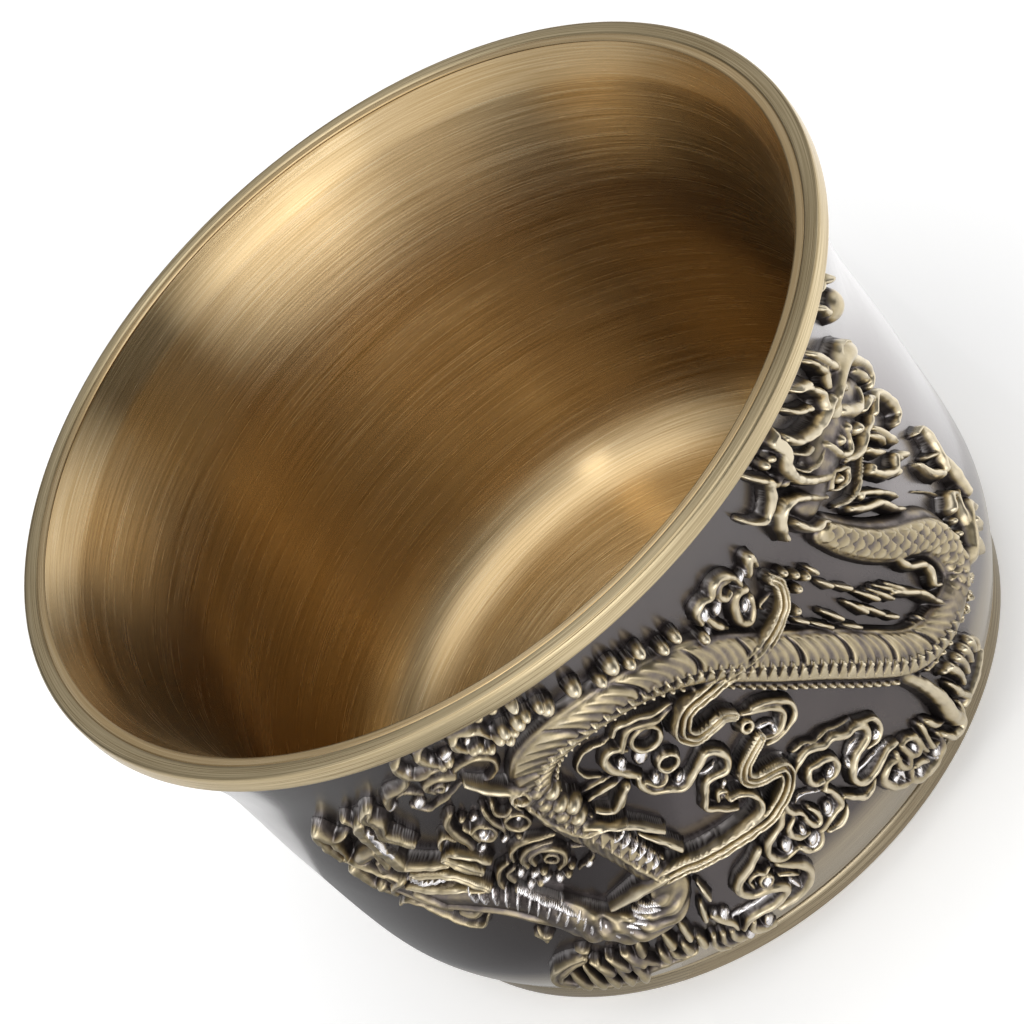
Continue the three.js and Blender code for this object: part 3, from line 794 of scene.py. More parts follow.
DRAGON_HEAD: tuple[Mark, ...] = (
    Stroke(((31.0, 27.6), (36.0, 28.0), (41.6, 28.0), (46.6, 27.6),
        (50.6, 26.8)), 2.2, 1.35, Form.ROUND, 0.75, 0.7, 0.3),
    Stroke(((41.8, 30.0), (46.0, 29.4), (50.3, 29.4), (53.9, 28.8),
        (57.0, 27.8)), 1.05, 2.0, Form.ROUND, 0.5, 0.95, 0.3),
    fine((47.6, 31.4), (50.6, 30.6), (53.9, 30.2), (56.8, 29.0), (58.6, 27.2), half=0.3, high=1.6),
    Stroke(((44.2, 28.6), (46.4, 29.4), (48.6, 29.1), (50.0, 27.8)), 0.4, 2.1),
    Stroke(((46.2, 27.8), (48.4, 26.5), (50.4, 25.8), (52.8, 26.0)), 0.75, 1.9),
    Stroke(((55.2, 28.6), (56.8, 26.9), (58.2, 25.5), (58.4, 24.4), (56.4, 24.1)), 0.6, 1.7),
    Stroke(((54.4, 27.1), (55.4, 25.8), (56.4, 24.8)), 0.5, 1.5),
    Stroke(((35.0, 26.3), (36.6, 27.0), (38.4, 26.3), (39.6, 25.5), (37.8, 25.1), (36.0, 25.5),
        (35.0, 26.3)), 0.24, 1.75),
    Dome((37.2, 26.0), 0.5, 1.7),
    Stroke(((39.6, 28.4), (40.2, 26.9), (41.8, 26.0), (43.6, 26.5), (43.8, 27.6)), 0.42, 1.9),
    *domes(0.62, 1.9, (41.8, 27.4), (44.4, 27.1), (46.6, 25.5)),
    Stroke(((40.2, 26.0), (42.2, 25.1), (44.4, 24.5), (47.2, 24.5), (49.6, 23.9), (51.4, 23.8)), 0.42, 1.6),
    Stroke(((50.4, 25.1), (52.6, 24.8), (54.6, 23.9)), 0.45, 1.5),
    Stroke(((31.5, 36.0), (31.0, 34.5), (31.4, 33.4), (30.3, 32.2), (31.0, 30.5), (32.8, 28.9),
        (35.5, 27.3), (37.0, 26.6)), 0.5, 1.9, Form.FLAT, 0.95, 0.6, 0.05),
    Stroke(((44.9, 30.0), (41.8, 30.2), (39.1, 30.6), (36.4, 31.4), (34.2, 32.4),
        (32.8, 33.7)), 0.46, 1.9, Form.ROUND, 1, 0.7, 0.1),
    fine((38.0, 29.0), (35.0, 29.1), (32.8, 29.9), (31.4, 31.3), half=0.26, high=1.4),
    fine((36.4, 30.2), (34.2, 30.9), (32.4, 32.2), half=0.3, high=1.4),
    lock((42.4, 30.7), (43.2, 31.5), (42.2, 32.5), (40.9, 33.6), (39.1, 34.4), (38.2, 35.6),
        half=0.46, high=1.7),
    lock((38.8, 32.8), (36.4, 34.0), (35.0, 35.1), (33.8, 36.4), half=0.36, high=1.4),
    lock((40.6, 34.2), (38.6, 35.1), (37.6, 36.3), half=0.34, high=1.3),
    lock((49.4, 30.3), (48.2, 31.7), (46.8, 33.2), (45.2, 34.7), (44.0, 36.1), half=0.55, high=1.7),
    lock((46.0, 31.7), (44.6, 33.6), (42.8, 35.1), (41.6, 36.3), half=0.4, high=1.4),
    lock((45.0, 31.1), (46.6, 32.2), (48.0, 31.3), half=0.4, high=1.5),
    lock((26.4, 33.4), (25.2, 34.4), (24.0, 35.5), (23.3, 36.5), half=0.36, high=1.3),
    lock((26.4, 33.2), (25.4, 32.0), (23.2, 31.2), (21.4, 32.0), (20.0, 33.4), half=0.42, high=1.4),
    rim((26.2, 33.6), (27.0, 32.6), (28.4, 32.8), (29.6, 32.2), half=0.4),
    *domes(0.4, 1.1, (28.4, 31.7), (26.8, 34.9), (28.2, 34.7)),
    Stroke(((24.3, 28.0), (24.7, 29.3), (26.5, 30.2), (28.8, 29.6), (31.0, 28.2), (32.4, 27.1),
        (33.7, 26.2)), 0.42, 1.6),
    Stroke(((27.0, 28.0), (27.7, 26.9), (28.8, 26.0), (30.6, 25.5), (31.6, 24.8)), 0.42, 1.7),
    rim((43.1, 22.7), (44.9, 21.2), (47.2, 20.1), (49.4, 20.3), (50.4, 19.4), half=0.42, high=1.3),
    rim((49.4, 23.6), (50.8, 21.7), (52.1, 20.3), half=0.46, high=1.3),
    rim((52.1, 23.6), (54.6, 23.9), (56.4, 23.2), (57.8, 21.4), (57.4, 20.3), (55.3, 20.4),
        half=0.46, high=1.3),
    rim((35.5, 23.5), (37.8, 22.1), (40.5, 20.8), (42.2, 19.0), (43.8, 17.9), half=0.42, high=1.3),
    rim((37.8, 23.6), (39.6, 22.6), (41.4, 21.4), (43.0, 20.2), (44.2, 19.0), half=0.34, high=1.2),
    rim((45.4, 23.7), (46.6, 22.6), (48.2, 21.6), half=0.36, high=1.3),
    rim((47.6, 23.9), (48.8, 22.8), (49.4, 21.7), half=0.32, high=1.3),
    fine((34.0, 24.8), (37.0, 23.8), (40.4, 23.7), (44.6, 24.2), half=0.26, high=1.2),
    drop((50.0, 20.1), (51.6, 19.1), half=0.4), *domes(0.42, 1.2, (38.2, 23.1), (43.6, 22.8), (47.4, 19.8)),
    Stroke(((56.6, 34.7), (59.6, 33.8), (62.2, 32.8), (64.4, 31.1)), 0.6, 1.4),
    Dome((60.2, 30.7), 1.2, 1.5), lock((53.6, 33.4), (52.6, 34.4), (51.4, 35.3), half=0.4, high=1.1),
)

DRAGON_TAIL: tuple[Mark, ...] = (
    Stroke(((-55.6, 20.0), (-58.4, 21.2), (-61.4, 21.8), (-64.6, 21.5)), 0.36, 1.5),
    Stroke(((-64.6, 21.9), (-65.0, 23.9), (-64.0, 25.8), (-62.2, 25.1), (-62.0, 23.5),
        (-63.2, 21.9)), 0.34, 1.4),
    Dome((-63.4, 23.8), 0.85, 1.0),
    Stroke(((-55.4, 23.8), (-58.0, 23.1), (-60.6, 22.2)), 0.85, 1.4, Form.ROUND, 0.8, 0.7, 0.2),
    Stroke(((-54.9, 24.0), (-54.9, 22.3), (-56.2, 21.4)), 0.45, 1.4),
    lock((-55.8, 19.9), (-58.4, 19.0), (-60.8, 17.8), (-61.6, 16.9), half=0.55),
    lock((-63.8, 20.9), (-63.0, 18.9), (-61.6, 17.3), half=0.5, high=1.3), Dome((-61.2, 18.8), 0.6, 1.3),
    Stroke(((-61.0, 16.6), (-58.0, 17.4), (-55.8, 16.8), (-54.0, 15.5), (-51.6, 14.2), (-49.2, 14.0),
        (-46.8, 15.2)), 0.3, 0.9),
    Stroke(((-55.4, 18.4), (-53.4, 17.3), (-52.2, 16.0)), 0.5, 1.3),
    Stroke(((-50.6, 15.8), (-48.6, 15.5), (-46.6, 16.1)), 0.5, 1.0),
    drop((-57.6, 25.8), (-59.6, 25.5), half=0.4),
)

CLOUDS: dict[str, tuple[Mark, ...]] = {
    "cloud_centre": (
        rim((-12.6, 22.6), (-13.7, 23.6), (-14.8, 24.6), (-14.6, 25.6), (-13.2, 26.1), (-12.0, 25.7),
            (-11.4, 25.2)),
        rim((-11.9, 25.5), (-10.6, 26.3), (-9.3, 26.9), (-7.6, 26.6), (-5.4, 25.9), (-3.8, 26.0),
            (-2.6, 25.9), (-1.9, 25.3), half=0.38),
        ring((-8.3, 25.2), 1.05, 0.36), ring((-8.3, 22.2), 0.72, 0.3),
        fine((-16.4, 24.6), (-18.0, 25.4), (-18.0, 26.5), (-16.4, 27.3), (-14.6, 27.5), (-13.0, 27.2),
            (-11.8, 27.3), (-10.6, 27.6), (-9.6, 27.4), half=0.26),
        Stroke(((-11.4, 27.2), (-10.0, 27.8), (-8.6, 27.5), (-7.2, 27.3), (-5.2, 26.6), (-2.8, 26.4),
            (-1.8, 25.9)), 0.34, 0.9),
        fine((-20.4, 24.3), (-17.2, 24.3), (-14.6, 24.0)),
        fine((-20.2, 23.3), (-16.8, 23.4), (-13.6, 23.3), half=0.32, high=0.75),
        rim((-12.8, 22.6), (-13.3, 21.8), (-12.7, 20.8), (-10.9, 20.2), (-9.8, 19.6), (-8.6, 19.5),
            (-7.4, 19.8), (-5.0, 20.4), (-3.9, 20.7), (-2.9, 20.4), (-2.2, 19.8), (-2.0, 19.2),
            (-2.5, 18.6), (-3.4, 18.3), (-4.8, 18.5), (-6.2, 18.6), (-7.2, 18.0), (-8.0, 17.3),
            (-8.9, 16.6), (-7.9, 15.9), (-7.0, 15.3), (-5.7, 14.7), half=0.42, high=1.05),
        rim((-12.4, 21.9), (-11.6, 21.1), (-10.2, 21.0), (-9.4, 21.5), half=0.28),
        rim((-6.9, 16.6), (-6.2, 17.2), (-5.2, 16.9), (-5.4, 16.1), half=0.28),
        drop((-17.8, 21.0), (-16.6, 21.5), (-15.4, 22.4), half=0.4), painted_gleam((-4.7, 21.0), (-2.8, 21.0)),
        painted_gleam((-6.2, 19.6), (-5.0, 19.5), (-3.6, 19.6), half=0.2), painted_gleam((-4.8, 16.3), (-3.8, 15.8)),
        *eyes(0.42, 0.9, (-13.0, 24.6), (-7.3, 24.3), (-8.6, 20.5), (-11.0, 21.7), (-6.1, 16.9)),
        *eyes(0.62, 0.8, (-10.4, 24.1),),
    ),
    "cloud_left": (
        rim((-35.4, 20.6), (-34.3, 21.7), (-31.7, 22.2), (-29.4, 21.9), (-27.4, 21.7), half=0.3),
        rim((-34.4, 19.6), (-34.0, 20.6), (-32.4, 21.3), (-30.4, 21.4), (-28.6, 21.1), half=0.34),
        rim((-33.2, 19.6), (-32.8, 20.5), (-31.2, 20.9), (-29.3, 20.6), (-28.4, 19.8), (-29.2, 18.9),
            (-30.9, 18.3), half=0.36),
        ring((-30.4, 19.7), 0.46, 0.24),
        fine((-26.8, 20.1), (-25.2, 19.7), (-24.8, 18.9), (-25.6, 18.3), (-27.4, 18.0), (-28.6, 17.6),
            half=0.3),
        rim((-36.4, 20.6), (-38.2, 20.2), (-39.8, 19.0), (-40.3, 17.7), half=0.32),
        rim((-37.8, 18.6), (-37.6, 19.6), (-36.2, 19.9), half=0.32),
        *eyes(0.36, 1.0, (-35.8, 19.3), (-36.0, 17.8), (-34.3, 18.7), (-31.7, 17.5), (-37.4, 17.1),
            (-26.6, 17.8), (-33.4, 17.9)),
        *domes(0.34, 0.9, (-34.8, 17.6), (-33.0, 18.6), (-30.4, 17.5), (-29.0, 18.2), (-38.6, 17.6)),
        ring((-35.4, 24.3), 0.8, 0.28), ring((-30.1, 24.3), 0.85, 0.3),
        rim((-32.6, 26.8), (-33.0, 25.4), (-32.6, 24.2), (-33.2, 23.4), half=0.3),
        rim((-30.8, 27.1), (-31.6, 26.0), (-30.8, 25.4), (-29.4, 25.6), half=0.26),
        rim((-28.4, 26.2), (-28.2, 25.0), half=0.26),
        rim((-37.4, 27.2), (-38.9, 26.3), (-39.3, 25.0), (-38.9, 23.8), (-39.3, 22.5), half=0.42),
        rim((-37.4, 25.4), (-36.8, 24.2), (-37.4, 23.4), half=0.26),
        *eyes(0.34, 0.9, (-35.4, 24.3), (-29.3, 24.7), (-33.6, 23.1), (-37.4, 22.9), (-34.6, 26.2)),
        *domes(0.32, 0.8, (-36.4, 26.4), (-31.6, 22.9)),
    ),
    "cloud_high": (
        rim((-35.2, 33.3), (-35.4, 34.6), (-34.8, 35.6), (-33.2, 36.2), half=0.36),
        rim((-30.6, 33.6), (-31.3, 34.8), (-31.2, 35.8), (-30.0, 36.3), (-27.2, 36.4), half=0.36),
        rim((-26.2, 34.0), (-26.5, 35.2), (-25.6, 36.1), (-24.2, 36.2), (-22.7, 35.6), (-22.4, 34.2),
            half=0.36),
        rim((-35.2, 33.2), (-33.4, 33.2), (-32.2, 33.4), (-31.0, 33.1), half=0.3),
        rim((-25.8, 33.7), (-24.6, 33.2), (-24.2, 32.6), half=0.3),
        rim((-30.2, 32.2), (-29.2, 32.6), (-26.6, 32.8), (-25.2, 32.2), (-25.0, 31.3), (-25.9, 30.4),
            (-27.6, 29.8), (-29.2, 29.9), half=0.26, high=0.7),
        rim((-31.2, 31.4), (-32.6, 32.2), (-34.6, 32.0), (-35.7, 31.2), (-35.6, 30.3), half=0.36),
        ring((-34.2, 30.9), 0.34, 0.22),
        rim((-43.4, 30.0), (-42.4, 30.9), (-40.3, 32.0), (-38.2, 32.3), (-36.8, 32.8), (-35.7, 33.7),
            half=0.42),
        fine((-40.4, 29.5), (-38.6, 28.6), (-36.4, 29.1), (-34.6, 29.4), (-32.6, 30.0), (-31.2, 30.4),
            half=0.26),
        fine((-40.6, 31.0), (-39.4, 31.6), (-37.8, 31.4), (-37.2, 30.4), half=0.24),
        *eyes(0.44, 1.0, (-42.8, 30.1), (-38.9, 29.6), (-28.4, 34.6), (-34.6, 34.3)),
        *eyes(0.3, 1.0, (-30.4, 34.8), (-33.4, 30.6), (-24.6, 35.2)),
        *domes(0.42, 1.1, (-30.5, 33.3), (-29.4, 33.5), (-25.6, 33.6), (-23.9, 32.8), (-24.8, 33.6)),
        *domes(0.5, 1.5, (-22.0, 33.4), (-20.8, 33.8), (-19.8, 33.5), (-21.2, 32.8)),
        *domes(0.46, 1.3, (-21.8, 36.7), (-19.7, 36.6), (-17.3, 35.8), (-17.2, 34.2), (-15.1, 34.2)),
    ),
    "cloud_right": (
        rim((7.3, 29.9), (7.6, 31.1), (9.0, 31.5), (10.4, 31.2), (11.6, 31.8), (13.2, 31.6), (14.4, 30.6),
            (14.8, 29.3), half=0.38),
        rim((12.9, 29.7), (11.8, 29.8), (11.4, 30.7), (12.4, 31.3), (13.7, 30.6), half=0.36),
        rim((14.9, 28.6), (13.5, 29.1), (12.2, 28.4), (11.5, 27.1), (12.5, 26.3), (14.0, 26.8),
            (14.9, 27.7), half=0.46),
        rim((8.3, 29.7), (8.7, 28.6), (9.7, 27.5), half=0.4), drop((16.4, 29.1), (17.8, 30.6), half=0.42),
        drop((18.2, 29.1), (18.2, 30.5), half=0.34),
        *eyes(0.5, 0.95, (10.2, 29.7), (6.9, 28.7), (8.3, 30.3), (15.2, 30.0), (13.4, 27.7)),
    ),
    "cloud_whisker": (
        rim((3.4, 21.1), (5.1, 20.5), (7.2, 19.5), (7.8, 18.6), (6.8, 17.9), (5.1, 17.6), (3.4, 18.0),
            half=0.36, high=1.05),
        rim((4.9, 20.9), (6.8, 20.4), (8.5, 19.5), (9.4, 18.6), (8.9, 17.7), (7.2, 17.3), (5.1, 17.2),
            (3.2, 17.4), half=0.36, high=1.05),
        ring((2.8, 20.0), 0.42, 0.32, 1.2),
        painted_gleam((-1.6, 18.2), (0.4, 18.6), (2.0, 19.1), (3.8, 19.4), half=0.4),
        painted_gleam((3.6, 19.3), (5.0, 19.1), (5.8, 18.6), half=0.4),
        painted_gleam((-0.8, 16.5), (1.0, 16.5), (2.6, 16.4), (4.0, 15.9), half=0.18),
        *eyes(0.34, 0.9, (5.4, 18.2), (-4.6, 17.6)),
    ),
    "cloud_low": (
        rim((2.4, 13.4), (3.6, 13.9), (5.0, 14.2), (6.6, 14.3), (7.8, 14.0), (9.0, 13.5), (10.6, 13.4),
            (11.6, 12.9), (12.6, 12.5), (13.8, 12.4), (14.8, 12.0), (15.2, 11.4), (14.6, 10.8),
            (13.2, 10.6), (11.8, 10.5), (10.6, 10.1), (9.6, 9.5), (9.2, 8.9), (9.6, 8.2), (10.8, 7.8),
            (12.6, 7.8), (14.4, 8.0), (16.0, 8.1), (17.6, 7.8), half=0.44, high=1.1),
        rim((14.6, 12.6), (15.8, 12.0), (16.9, 11.5), (17.2, 10.8), (16.6, 10.1), (15.4, 9.8), (13.6, 9.9),
            half=0.32, high=0.95),
        fine((5.0, 15.3), (7.0, 15.2), (8.4, 14.6), (10.6, 14.4), (12.2, 13.8), (14.4, 13.2),
            half=0.26, high=0.75),
        rim((5.6, 11.2), (4.5, 11.5), (4.3, 12.3), (5.2, 13.0), (6.6, 12.8), (7.8, 12.6), (8.8, 12.0),
            (8.6, 11.2), (7.4, 10.8), (6.0, 10.9), (5.0, 10.4), half=0.38),
        rim((5.0, 10.5), (5.6, 9.9), (5.7, 8.9), (5.3, 8.3), (4.0, 8.2), (2.6, 8.0), (1.4, 7.7), (0.6, 7.7),
            half=0.36),
        rim((-1.6, 11.7), (-2.8, 11.0), (-4.4, 10.7), (-6.0, 10.3), (-6.9, 9.5), (-6.7, 8.6), (-5.4, 8.0),
            (-3.6, 8.0), half=0.42),
        rim((-1.0, 10.6), (-2.4, 10.2), (-2.7, 9.4), (-2.0, 8.7), (-0.6, 8.4), half=0.36),
        rim((0.8, 13.0), (-0.3, 12.5), (-0.7, 11.8), (-0.5, 11.1), (0.3, 10.5), (0.6, 9.8), half=0.34),
        rim((0.3, 9.8), (0.5, 8.9), (1.2, 8.6), (1.9, 8.9), (2.0, 9.6), (1.6, 10.3), half=0.36),
        rim((-3.0, 7.9), (-2.4, 7.1), (-1.2, 6.8), (0.0, 7.0), (0.8, 7.6), half=0.36),
        rim((1.6, 7.2), (3.4, 6.9), (5.0, 7.2), (6.0, 7.7), half=0.3),
        rim((6.6, 8.6), (7.8, 7.6), (8.8, 7.0), (10.4, 7.0), (11.6, 7.3), half=0.36),
        painted_gleam((0.6, 11.6), (1.6, 12.0), (3.0, 11.6), (4.4, 10.8), half=0.26),
        painted_gleam((9.6, 9.2), (11.6, 9.3), (14.0, 9.2), (16.4, 8.9), half=0.16),
        painted_gleam((10.6, 11.4), (12.0, 11.7), (13.4, 11.7), half=0.34),
        painted_gleam((2.4, 7.6), (4.0, 7.3), (5.4, 7.5), half=0.26),
        *eyes(0.55, 0.95, (-4.2, 9.0), (3.7, 9.0), (-0.8, 7.7)),
        *eyes(0.36, 0.95, (-1.0, 9.3), (7.2, 11.5), (15.6, 10.4), (9.9, 10.7)),
    ),
    "cloud_foot": (
        rim((-7.6, 10.3), (-10.0, 9.5), (-12.5, 8.9), (-13.7, 8.0), (-12.9, 7.0), (-10.8, 6.5), (-9.1, 5.7),
            (-8.9, 4.9), (-11.6, 4.2), (-15.8, 4.3), (-18.4, 3.1), half=0.48, high=1.1),
        rim((-11.8, 7.6), (-11.6, 8.5), (-10.2, 8.7), (-9.3, 8.1), (-8.2, 8.2), half=0.28),
        ring((-9.8, 7.4), 0.5, 0.24),
        rim((-7.0, 8.1), (-5.8, 7.2), (-4.4, 5.9), (-4.5, 4.7), (-6.2, 3.6), (-8.6, 3.0), (-12.0, 2.9),
            half=0.42),
        rim((-8.0, 7.0), (-6.6, 6.5), (-5.9, 5.6), half=0.26),
        painted_gleam((-7.2, 5.6), (-7.0, 4.2), half=0.42, high=0.75),
        painted_gleam((-18.2, 6.1), (-13.8, 5.9), (-10.6, 5.8), half=0.16),
        *eyes(0.5, 0.95, (-14.6, 2.4), (-18.2, 2.1), (-9.7, 7.3)),
        rim((-19.4, 7.3), (-18.8, 6.2), (-18.2, 5.0), (-18.8, 3.7), half=0.36),
        rim((-20.8, 4.4), (-21.9, 3.2), (-21.4, 2.1), (-20.2, 1.9), half=0.42),
        rim((-19.6, 4.1), (-20.4, 2.9), (-19.4, 1.9), half=0.4),
        rim((-22.0, 4.8), (-23.4, 3.4), (-23.4, 2.1), (-22.4, 1.8), half=0.38),
        rim((-16.2, 3.6), (-17.4, 2.5), (-16.2, 1.9), (-14.4, 1.6), half=0.4),
        *eyes(0.42, 0.9, (-17.6, 6.9), (-19.0, 7.4)),
    ),
    "cloud_heel": (
        rim((16.4, 6.6), (14.4, 7.2), (12.6, 6.6), (12.9, 5.4), (13.9, 4.4), (15.4, 3.6), (17.4, 3.0),
            half=0.42),
        painted_gleam((15.4, 5.7), (15.2, 4.3), half=0.38, high=0.75),
        rim((16.4, 7.3), (15.9, 6.1), (16.9, 5.1), (17.8, 6.0), (17.4, 7.1), half=0.4),
        rim((17.8, 7.3), (18.1, 5.9), (19.4, 5.2), (20.4, 6.1), (19.4, 7.1), (18.0, 7.3), half=0.42),
        rim((17.0, 4.5), (16.6, 3.2), (18.0, 2.2), (20.0, 1.9), (22.4, 1.8), (24.6, 2.0), (25.0, 3.0),
            (24.4, 4.1), half=0.4),
        rim((17.8, 4.4), (19.6, 3.7), (21.0, 2.6), half=0.32),
        rim((20.5, 6.6), (20.5, 5.2), (21.4, 3.7), half=0.38),
        rim((22.2, 6.8), (22.0, 5.2), (22.7, 3.4), (24.2, 2.8), half=0.36),
        rim((23.4, 6.4), (24.6, 5.1), (26.4, 4.2), half=0.42),
        *eyes(0.42, 0.9, (14.2, 5.6), (18.4, 3.1), (22.8, 2.5), (19.2, 6.1)),
    ),
}

WATER: dict[str, tuple[Mark, ...]] = {
    "water_left": (
        rim((-51.2, 2.1), (-50.0, 4.4), (-47.0, 6.2), (-43.6, 7.2), (-40.8, 7.5), half=0.62, high=1.4),
        *(lock((a, 1.9), (a + 1.6, 4.1), (a + 3.4, 6.5), half=0.52, high=1.4)
            for a in (-48.6, -45.8, -43.2, -40.6, -38.0)),
        *(drop((a, 7.1), (a + 0.6, 4.8), half=0.46, high=1.2) for a in (-40.2, -37.4, -34.8)),
        drop((-31.0, 8.0), (-32.2, 6.4), half=0.5), drop((-27.0, 7.8), (-27.6, 6.0), half=0.48),
        drop((-23.6, 8.5), (-24.6, 6.0), half=0.42),
        *(drop((a + 0.7, 5.6), (a, 4.1), half=0.5, high=1.1) for a in (-30.8, -27.0, -24.4)),
        rim((-49.6, 2.0), (-44.0, 1.9), (-38.6, 2.2), (-34.4, 3.4), (-30.8, 3.4), (-26.8, 3.2),
            half=0.4, high=1.0),
        rim((-33.8, 7.2), (-33.0, 5.4), (-32.4, 3.7), half=0.4),
        rim((-28.4, 5.6), (-28.8, 4.4), (-28.4, 3.4), half=0.34),
    ),
    "water_right": (
        *(lock((a, 6.8 - 0.4 * k), (a + 1.6, 4.8 - 0.4 * k), (a + 3.2, 2.4), half=0.52, high=1.35)
            for k, a in enumerate((32.4, 34.6, 36.8, 38.8))),
        rim((30.8, 7.3), (33.0, 6.6), (36.0, 6.1), (39.4, 5.4), (41.6, 3.7), (42.4, 2.4),
            half=0.4, high=1.1),
        rim((32.6, 1.9), (36.0, 1.9), (39.6, 1.9), (42.8, 2.0), half=0.36, high=0.9),
        drop((30.6, 6.0), (32.4, 3.6), half=0.45), drop((32.4, 3.6), (34.4, 2.0), half=0.4),
    ),
}


def draw_castings(grid: ReliefGrid) -> None:
    """Draws every casting's marks on its layer of the grid."""
    dragon = {"dragon_body": DRAGON_BODY, "dragon_head": DRAGON_HEAD, "dragon_tail": DRAGON_TAIL}
    for name, marks in {**dragon, **CLOUDS, **WATER}.items():
        for mark in marks:
            mark.draw(grid, name)
        log.info("drew %s with %d marks", name, len(marks))


@dataclass(frozen=True)
class CupSizes:
    """Sizes of the turned parts, in mm. The outer ones are read from the frame.

    The patch is where the wall is painted lighter, a painted sheen that stands in for light falling on it:
    its middle in degrees round the cup, its half width and the width of its fading edge.
    """

    lip_radius: float
    lip_underside: float
    lip_top: float
    foot_radius: float
    foot_top: float
    ring_width: float = 1.15
    lip_edge: float = 0.25
    lip_gap: float = 0.03
    lip_step: float = 0.25
    lip_inside: float = 31.0
    brim_depth: float = 0.9
    brim_drop: float = 0.05
    wall_gap: float = 0.02
    liner_wall: float = 0.6
    shell_wall: float = 1.1
    seat: float = 0.3
    bowl_floor: float = 3.5
    bowl_corner: float = 6.2
    foot_width: float = 2.4
    foot_bead: float = 0.45
    base_radius: float = 25.2
    base_height: float = 1.7
    patch_at: float = 66.0
    patch_half: float = 32.0
    patch_fade: float = 9.0

    @classmethod
    def from_frame(cls) -> "CupSizes":
        """Reads the lip's and the foot's outer sizes from their CAD nodes."""
        lip_low, lip_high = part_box("rim_ring")
        _, foot_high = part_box("foot_ring")
        return cls(
            lip_radius=lip_high[0] / MM,
            lip_underside=lip_low[2] / MM,
            lip_top=lip_high[2] / MM,
            foot_radius=foot_high[0] / MM,
            foot_top=foot_high[2] / MM,
        )

    @property
    def wall_total(self) -> float:
        """From the wall's outer face to the bowl's face."""
        return self.shell_wall + self.seat + self.liner_wall


def new_object(name: str, points: Array, faces: Array, smooth: bool = True) -> bpy.types.Object:
    """A mesh object from arrays, written in one go.

    Args:
        name: the object's name.
        points: places in mm.
        faces: rows of vertex numbers, three or four to a face; -1 ends a triangle.
        smooth: whether its faces are shaded smooth.

    Returns:
        The object, in the scene.
    """
    mesh = bpy.data.meshes.new(name)
    totals = (faces >= 0).sum(1)
    corners = faces[faces >= 0]
    mesh.vertices.add(len(points))
    mesh.vertices.foreach_set("co", np.ascontiguousarray(points * MM, np.float32).ravel())
    mesh.loops.add(len(corners))
    mesh.loops.foreach_set("vertex_index", corners.astype(np.int32))
    mesh.polygons.add(len(faces))
    mesh.polygons.foreach_set("loop_start", np.r_[0, np.cumsum(totals)[:-1]].astype(np.int32))
    mesh.update(calc_edges=True)
    mesh.validate()
    mesh.polygons.foreach_set("use_smooth", np.full(len(faces), smooth))
    obj = bpy.data.objects.new(name, mesh)
    bpy.context.scene.collection.objects.link(obj)
    return obj


def set_attribute(obj: bpy.types.Object, name: str, values: Array) -> None:
    """Stores one number per vertex for the material to read."""
    layer = obj.data.attributes.new(name, "FLOAT", "POINT")
    layer.data.foreach_set("value", np.ascontiguousarray(values, np.float32).ravel())


def place_on(obj: bpy.types.Object, slot: str, *nodes: str) -> None:
    """Hangs a piece under the root and hides the CAD nodes it stands for."""
    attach(obj, "root")
    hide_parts(*nodes)


def revolve(name: str, profile: Array, steps: int = 288, sharp: float = 50) -> bpy.types.Object:
    """A turned piece from a closed profile of (radius, height) rows.

    The profile runs with the material on its left. Where it touches the axis its ring
    closes to a single point. Each vertex keeps its distance along the profile as "ring".

    Edges that turn by more than the sharp angle, in degrees, aren't shaded smooth.

    Args:
        name: the object's name.
        profile: (radius, height) rows in mm, the last joined to the first.
        steps: how many facets round.
        sharp: the sharp angle.

    Returns:
        The object.
    """
    radii, heights = profile.T
    ring_at = np.r_[0, np.cumsum(np.hypot(*np.diff(profile, axis=0).T))]
    turn = np.linspace(0, 2 * math.pi, steps, endpoint=False)
    on_axis = radii < 1e-6
    sizes = np.where(on_axis, 1, steps)
    starts = np.r_[0, np.cumsum(sizes)[:-1]]
    which = np.repeat(np.arange(len(profile)), sizes)
    angle = turn[np.arange(len(which)) - starts[which]]
    points = np.stack([radii[which] * np.sin(angle), -radii[which] * np.cos(angle), heights[which]], 1)
    here = np.arange(len(profile))
    there = np.roll(here, -1)
    step = np.arange(steps)
    ahead = (step + 1) % steps

    def ids(ring: Array, at: Array) -> Array:
        """Vertex numbers of places round each ring."""
        return starts[ring][:, None] + np.where(on_axis[ring][:, None], 0, at[None, :])

    quads = np.stack([ids(here, step), ids(here, ahead), ids(there, ahead), ids(there, step)], 2)
    quads = quads[~(on_axis[here] & on_axis[there])].reshape(-1, 4)
    low_pole = quads[:, 0] == quads[:, 1]
    high_pole = quads[:, 2] == quads[:, 3]
    quads[low_pole] = np.c_[quads[low_pole][:, [0, 2, 3]], np.full(low_pole.sum(), -1)]
    quads[high_pole] = np.c_[quads[high_pole][:, [0, 1, 2]], np.full(high_pole.sum(), -1)]
    obj = new_object(name, points, quads)
    obj.data.set_sharp_from_angle(angle=math.radians(sharp))
    set_attribute(obj, "ring", ring_at[which])
    return obj


